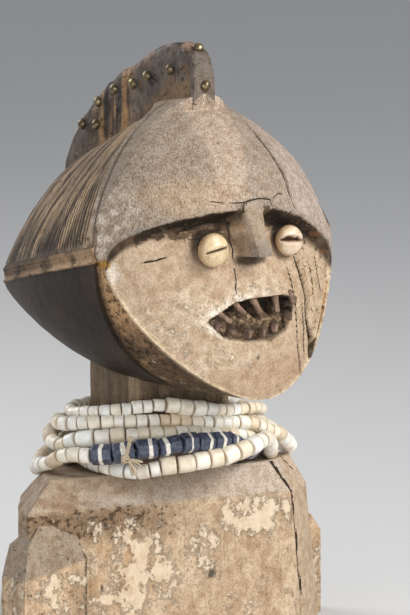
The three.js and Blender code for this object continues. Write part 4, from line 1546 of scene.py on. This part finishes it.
def knot_threads():
    """Lumpy knot tied over the blue beads, its tassel and the twisted ends that rise from it."""
    draw = random.Random(5)
    right = np.array([0.866, -0.5, 0])
    threads = []
    for _ in range(7):
        angle = np.linspace(0, 2 * math.pi * 1.6, 26)
        tilt = draw.uniform(0, math.pi)
        rise = np.sin(angle)
        loop = np.column_stack([np.cos(angle), rise * math.cos(tilt), rise * math.sin(tilt)])
        threads.append(KNOT + loop * draw.uniform(1.6, 2.6) + (0, 0, draw.uniform(-0.6, 0.6)))
    for _ in range(16):
        t = np.linspace(0, 1, 9)[:, None]
        fan = draw.uniform(-1.3, 0.1)
        reach = draw.uniform(6, 9)
        tip = right * math.cos(fan) * reach + np.array([0, 0, math.sin(fan) * reach])
        bow = np.array([-0.3, -0.6, 0]) * np.sin(t * math.pi) * draw.uniform(0, 2)
        threads.append(KNOT + right * 1.5 + tip * t + np.array([0, 0, -2.2]) * t ** 2 + bow)
    for k in range(4):
        t = np.linspace(0, 1, 24)[:, None]
        swirl = t * 9 + k * math.pi / 2
        rise = KNOT + np.array([3.4, -0.5, 13.5]) * t
        threads.append(rise + 0.9 * np.hstack([np.cos(swirl), 0.6 * np.sin(swirl), 0 * t]))
    return threads


def blue_glass_material():
    """Dark blue glass with white bands, worn lighter on its faces."""
    n = Nodes("blue_glass_beads")
    wear = n.noise(0.0022, 5, rough=0.7)
    ragged = n.times(n.plus(n.noise(0.003, 3), -0.5), 0.12)
    off = n.maths("ABSOLUTE", n.plus(n.attribute("Band"), ragged))
    blue = n.blend("MIX", (0.03, 0.037, 0.066), (0.115, 0.13, 0.19), n.range(wear, 0.42, 0.68))
    white = n.blend("MIX", (0.80, 0.76, 0.68), (0.58, 0.53, 0.45), n.range(wear, 0.45, 0.65))
    n.set("Base Color", n.blend("MIX", blue, white, n.range(off, 0.105, 0.085)))
    n.set("Roughness", n.range(wear, 0.35, 0.65, 0.5, 0.34))
    n.relief((wear, 0.0002))
    return n.material


white_glass = tinted_material("white_glass_beads", 0.36, 0.0012, (0.96, 0.92, 0.86), 0.00008, 0.15)
thread_material = tinted_material("cotton_thread", 0.85, 0.0004, (0.6, 0.52, 0.42), 0.0002)
blue_glass = blue_glass_material()
for name in STRANDS:
    strand(name)


# Stage
VIEW_TARGET = Vector((0.0363, 0.0101, 0.1916))
VIEW_AZIMUTH = math.radians(-30)
VIEW_ELEVATION = math.radians(8)
VIEW_WIDTH = 0.246
VIEW_DISTANCE = 5.5
SENSOR_WIDTH = 36


def placed(name, data, place, direction):
    """Light or camera at a place, looking against a direction."""
    ob = bpy.data.objects.new(name, data)
    ob.location = place
    ob.rotation_euler = direction.to_track_quat("Z", "Y").to_euler()
    bpy.context.scene.collection.objects.link(ob)
    return ob


def area_light(name, place, target, size, power, colour=(1, 1, 1)):
    data = bpy.data.lights.new(name, "AREA")
    data.size = size
    data.energy = power
    data.color = colour
    placed(name, data, place, Vector(place) - Vector(target))


def camera():
    data = bpy.data.cameras.new("camera")
    data.sensor_fit = "HORIZONTAL"
    data.sensor_width = SENSOR_WIDTH
    data.lens = SENSOR_WIDTH * VIEW_DISTANCE / VIEW_WIDTH
    data.clip_end = 100
    back = Vector((math.sin(VIEW_AZIMUTH) * math.cos(VIEW_ELEVATION),
                   -math.cos(VIEW_AZIMUTH) * math.cos(VIEW_ELEVATION), math.sin(VIEW_ELEVATION)))
    bpy.context.scene.camera = placed("camera", data, VIEW_TARGET + back * VIEW_DISTANCE, back)


def stage():
    bpy.ops.mesh.primitive_plane_add(size=12, location=(0, 0, -0.0005))
    floor = bpy.context.object
    floor.name = "floor"
    n = Nodes("floor")
    n.set("Base Color", (0.62, 0.62, 0.62))
    n.set("Roughness", 0.8)
    floor.data.materials.append(n.material)
    world = bpy.data.worlds.new("studio")
    world.use_nodes = True
    sky = world.node_tree.nodes["Background"].inputs
    sky["Color"].default_value = (0.8, 0.82, 0.86, 1)
    sky["Strength"].default_value = 0.45
    bpy.context.scene.world = world
    target = (0.0, -0.02, 0.2)
    area_light("key", (0.9, -1.3, 1.25), target, 0.7, 34, (1, 0.97, 0.93))
    area_light("fill", (-1.4, -1.0, 0.5), target, 1.2, 9)
    area_light("rim", (-0.6, 1.3, 1.0), target, 0.9, 14)
    area_light("low", (-0.1, -1.5, 0.16), (0.0, -0.02, 0.1), 0.9, 7.5, (1, 0.98, 0.95))


camera()
stage()
bpy.context.scene.view_settings.view_transform = "Standard"
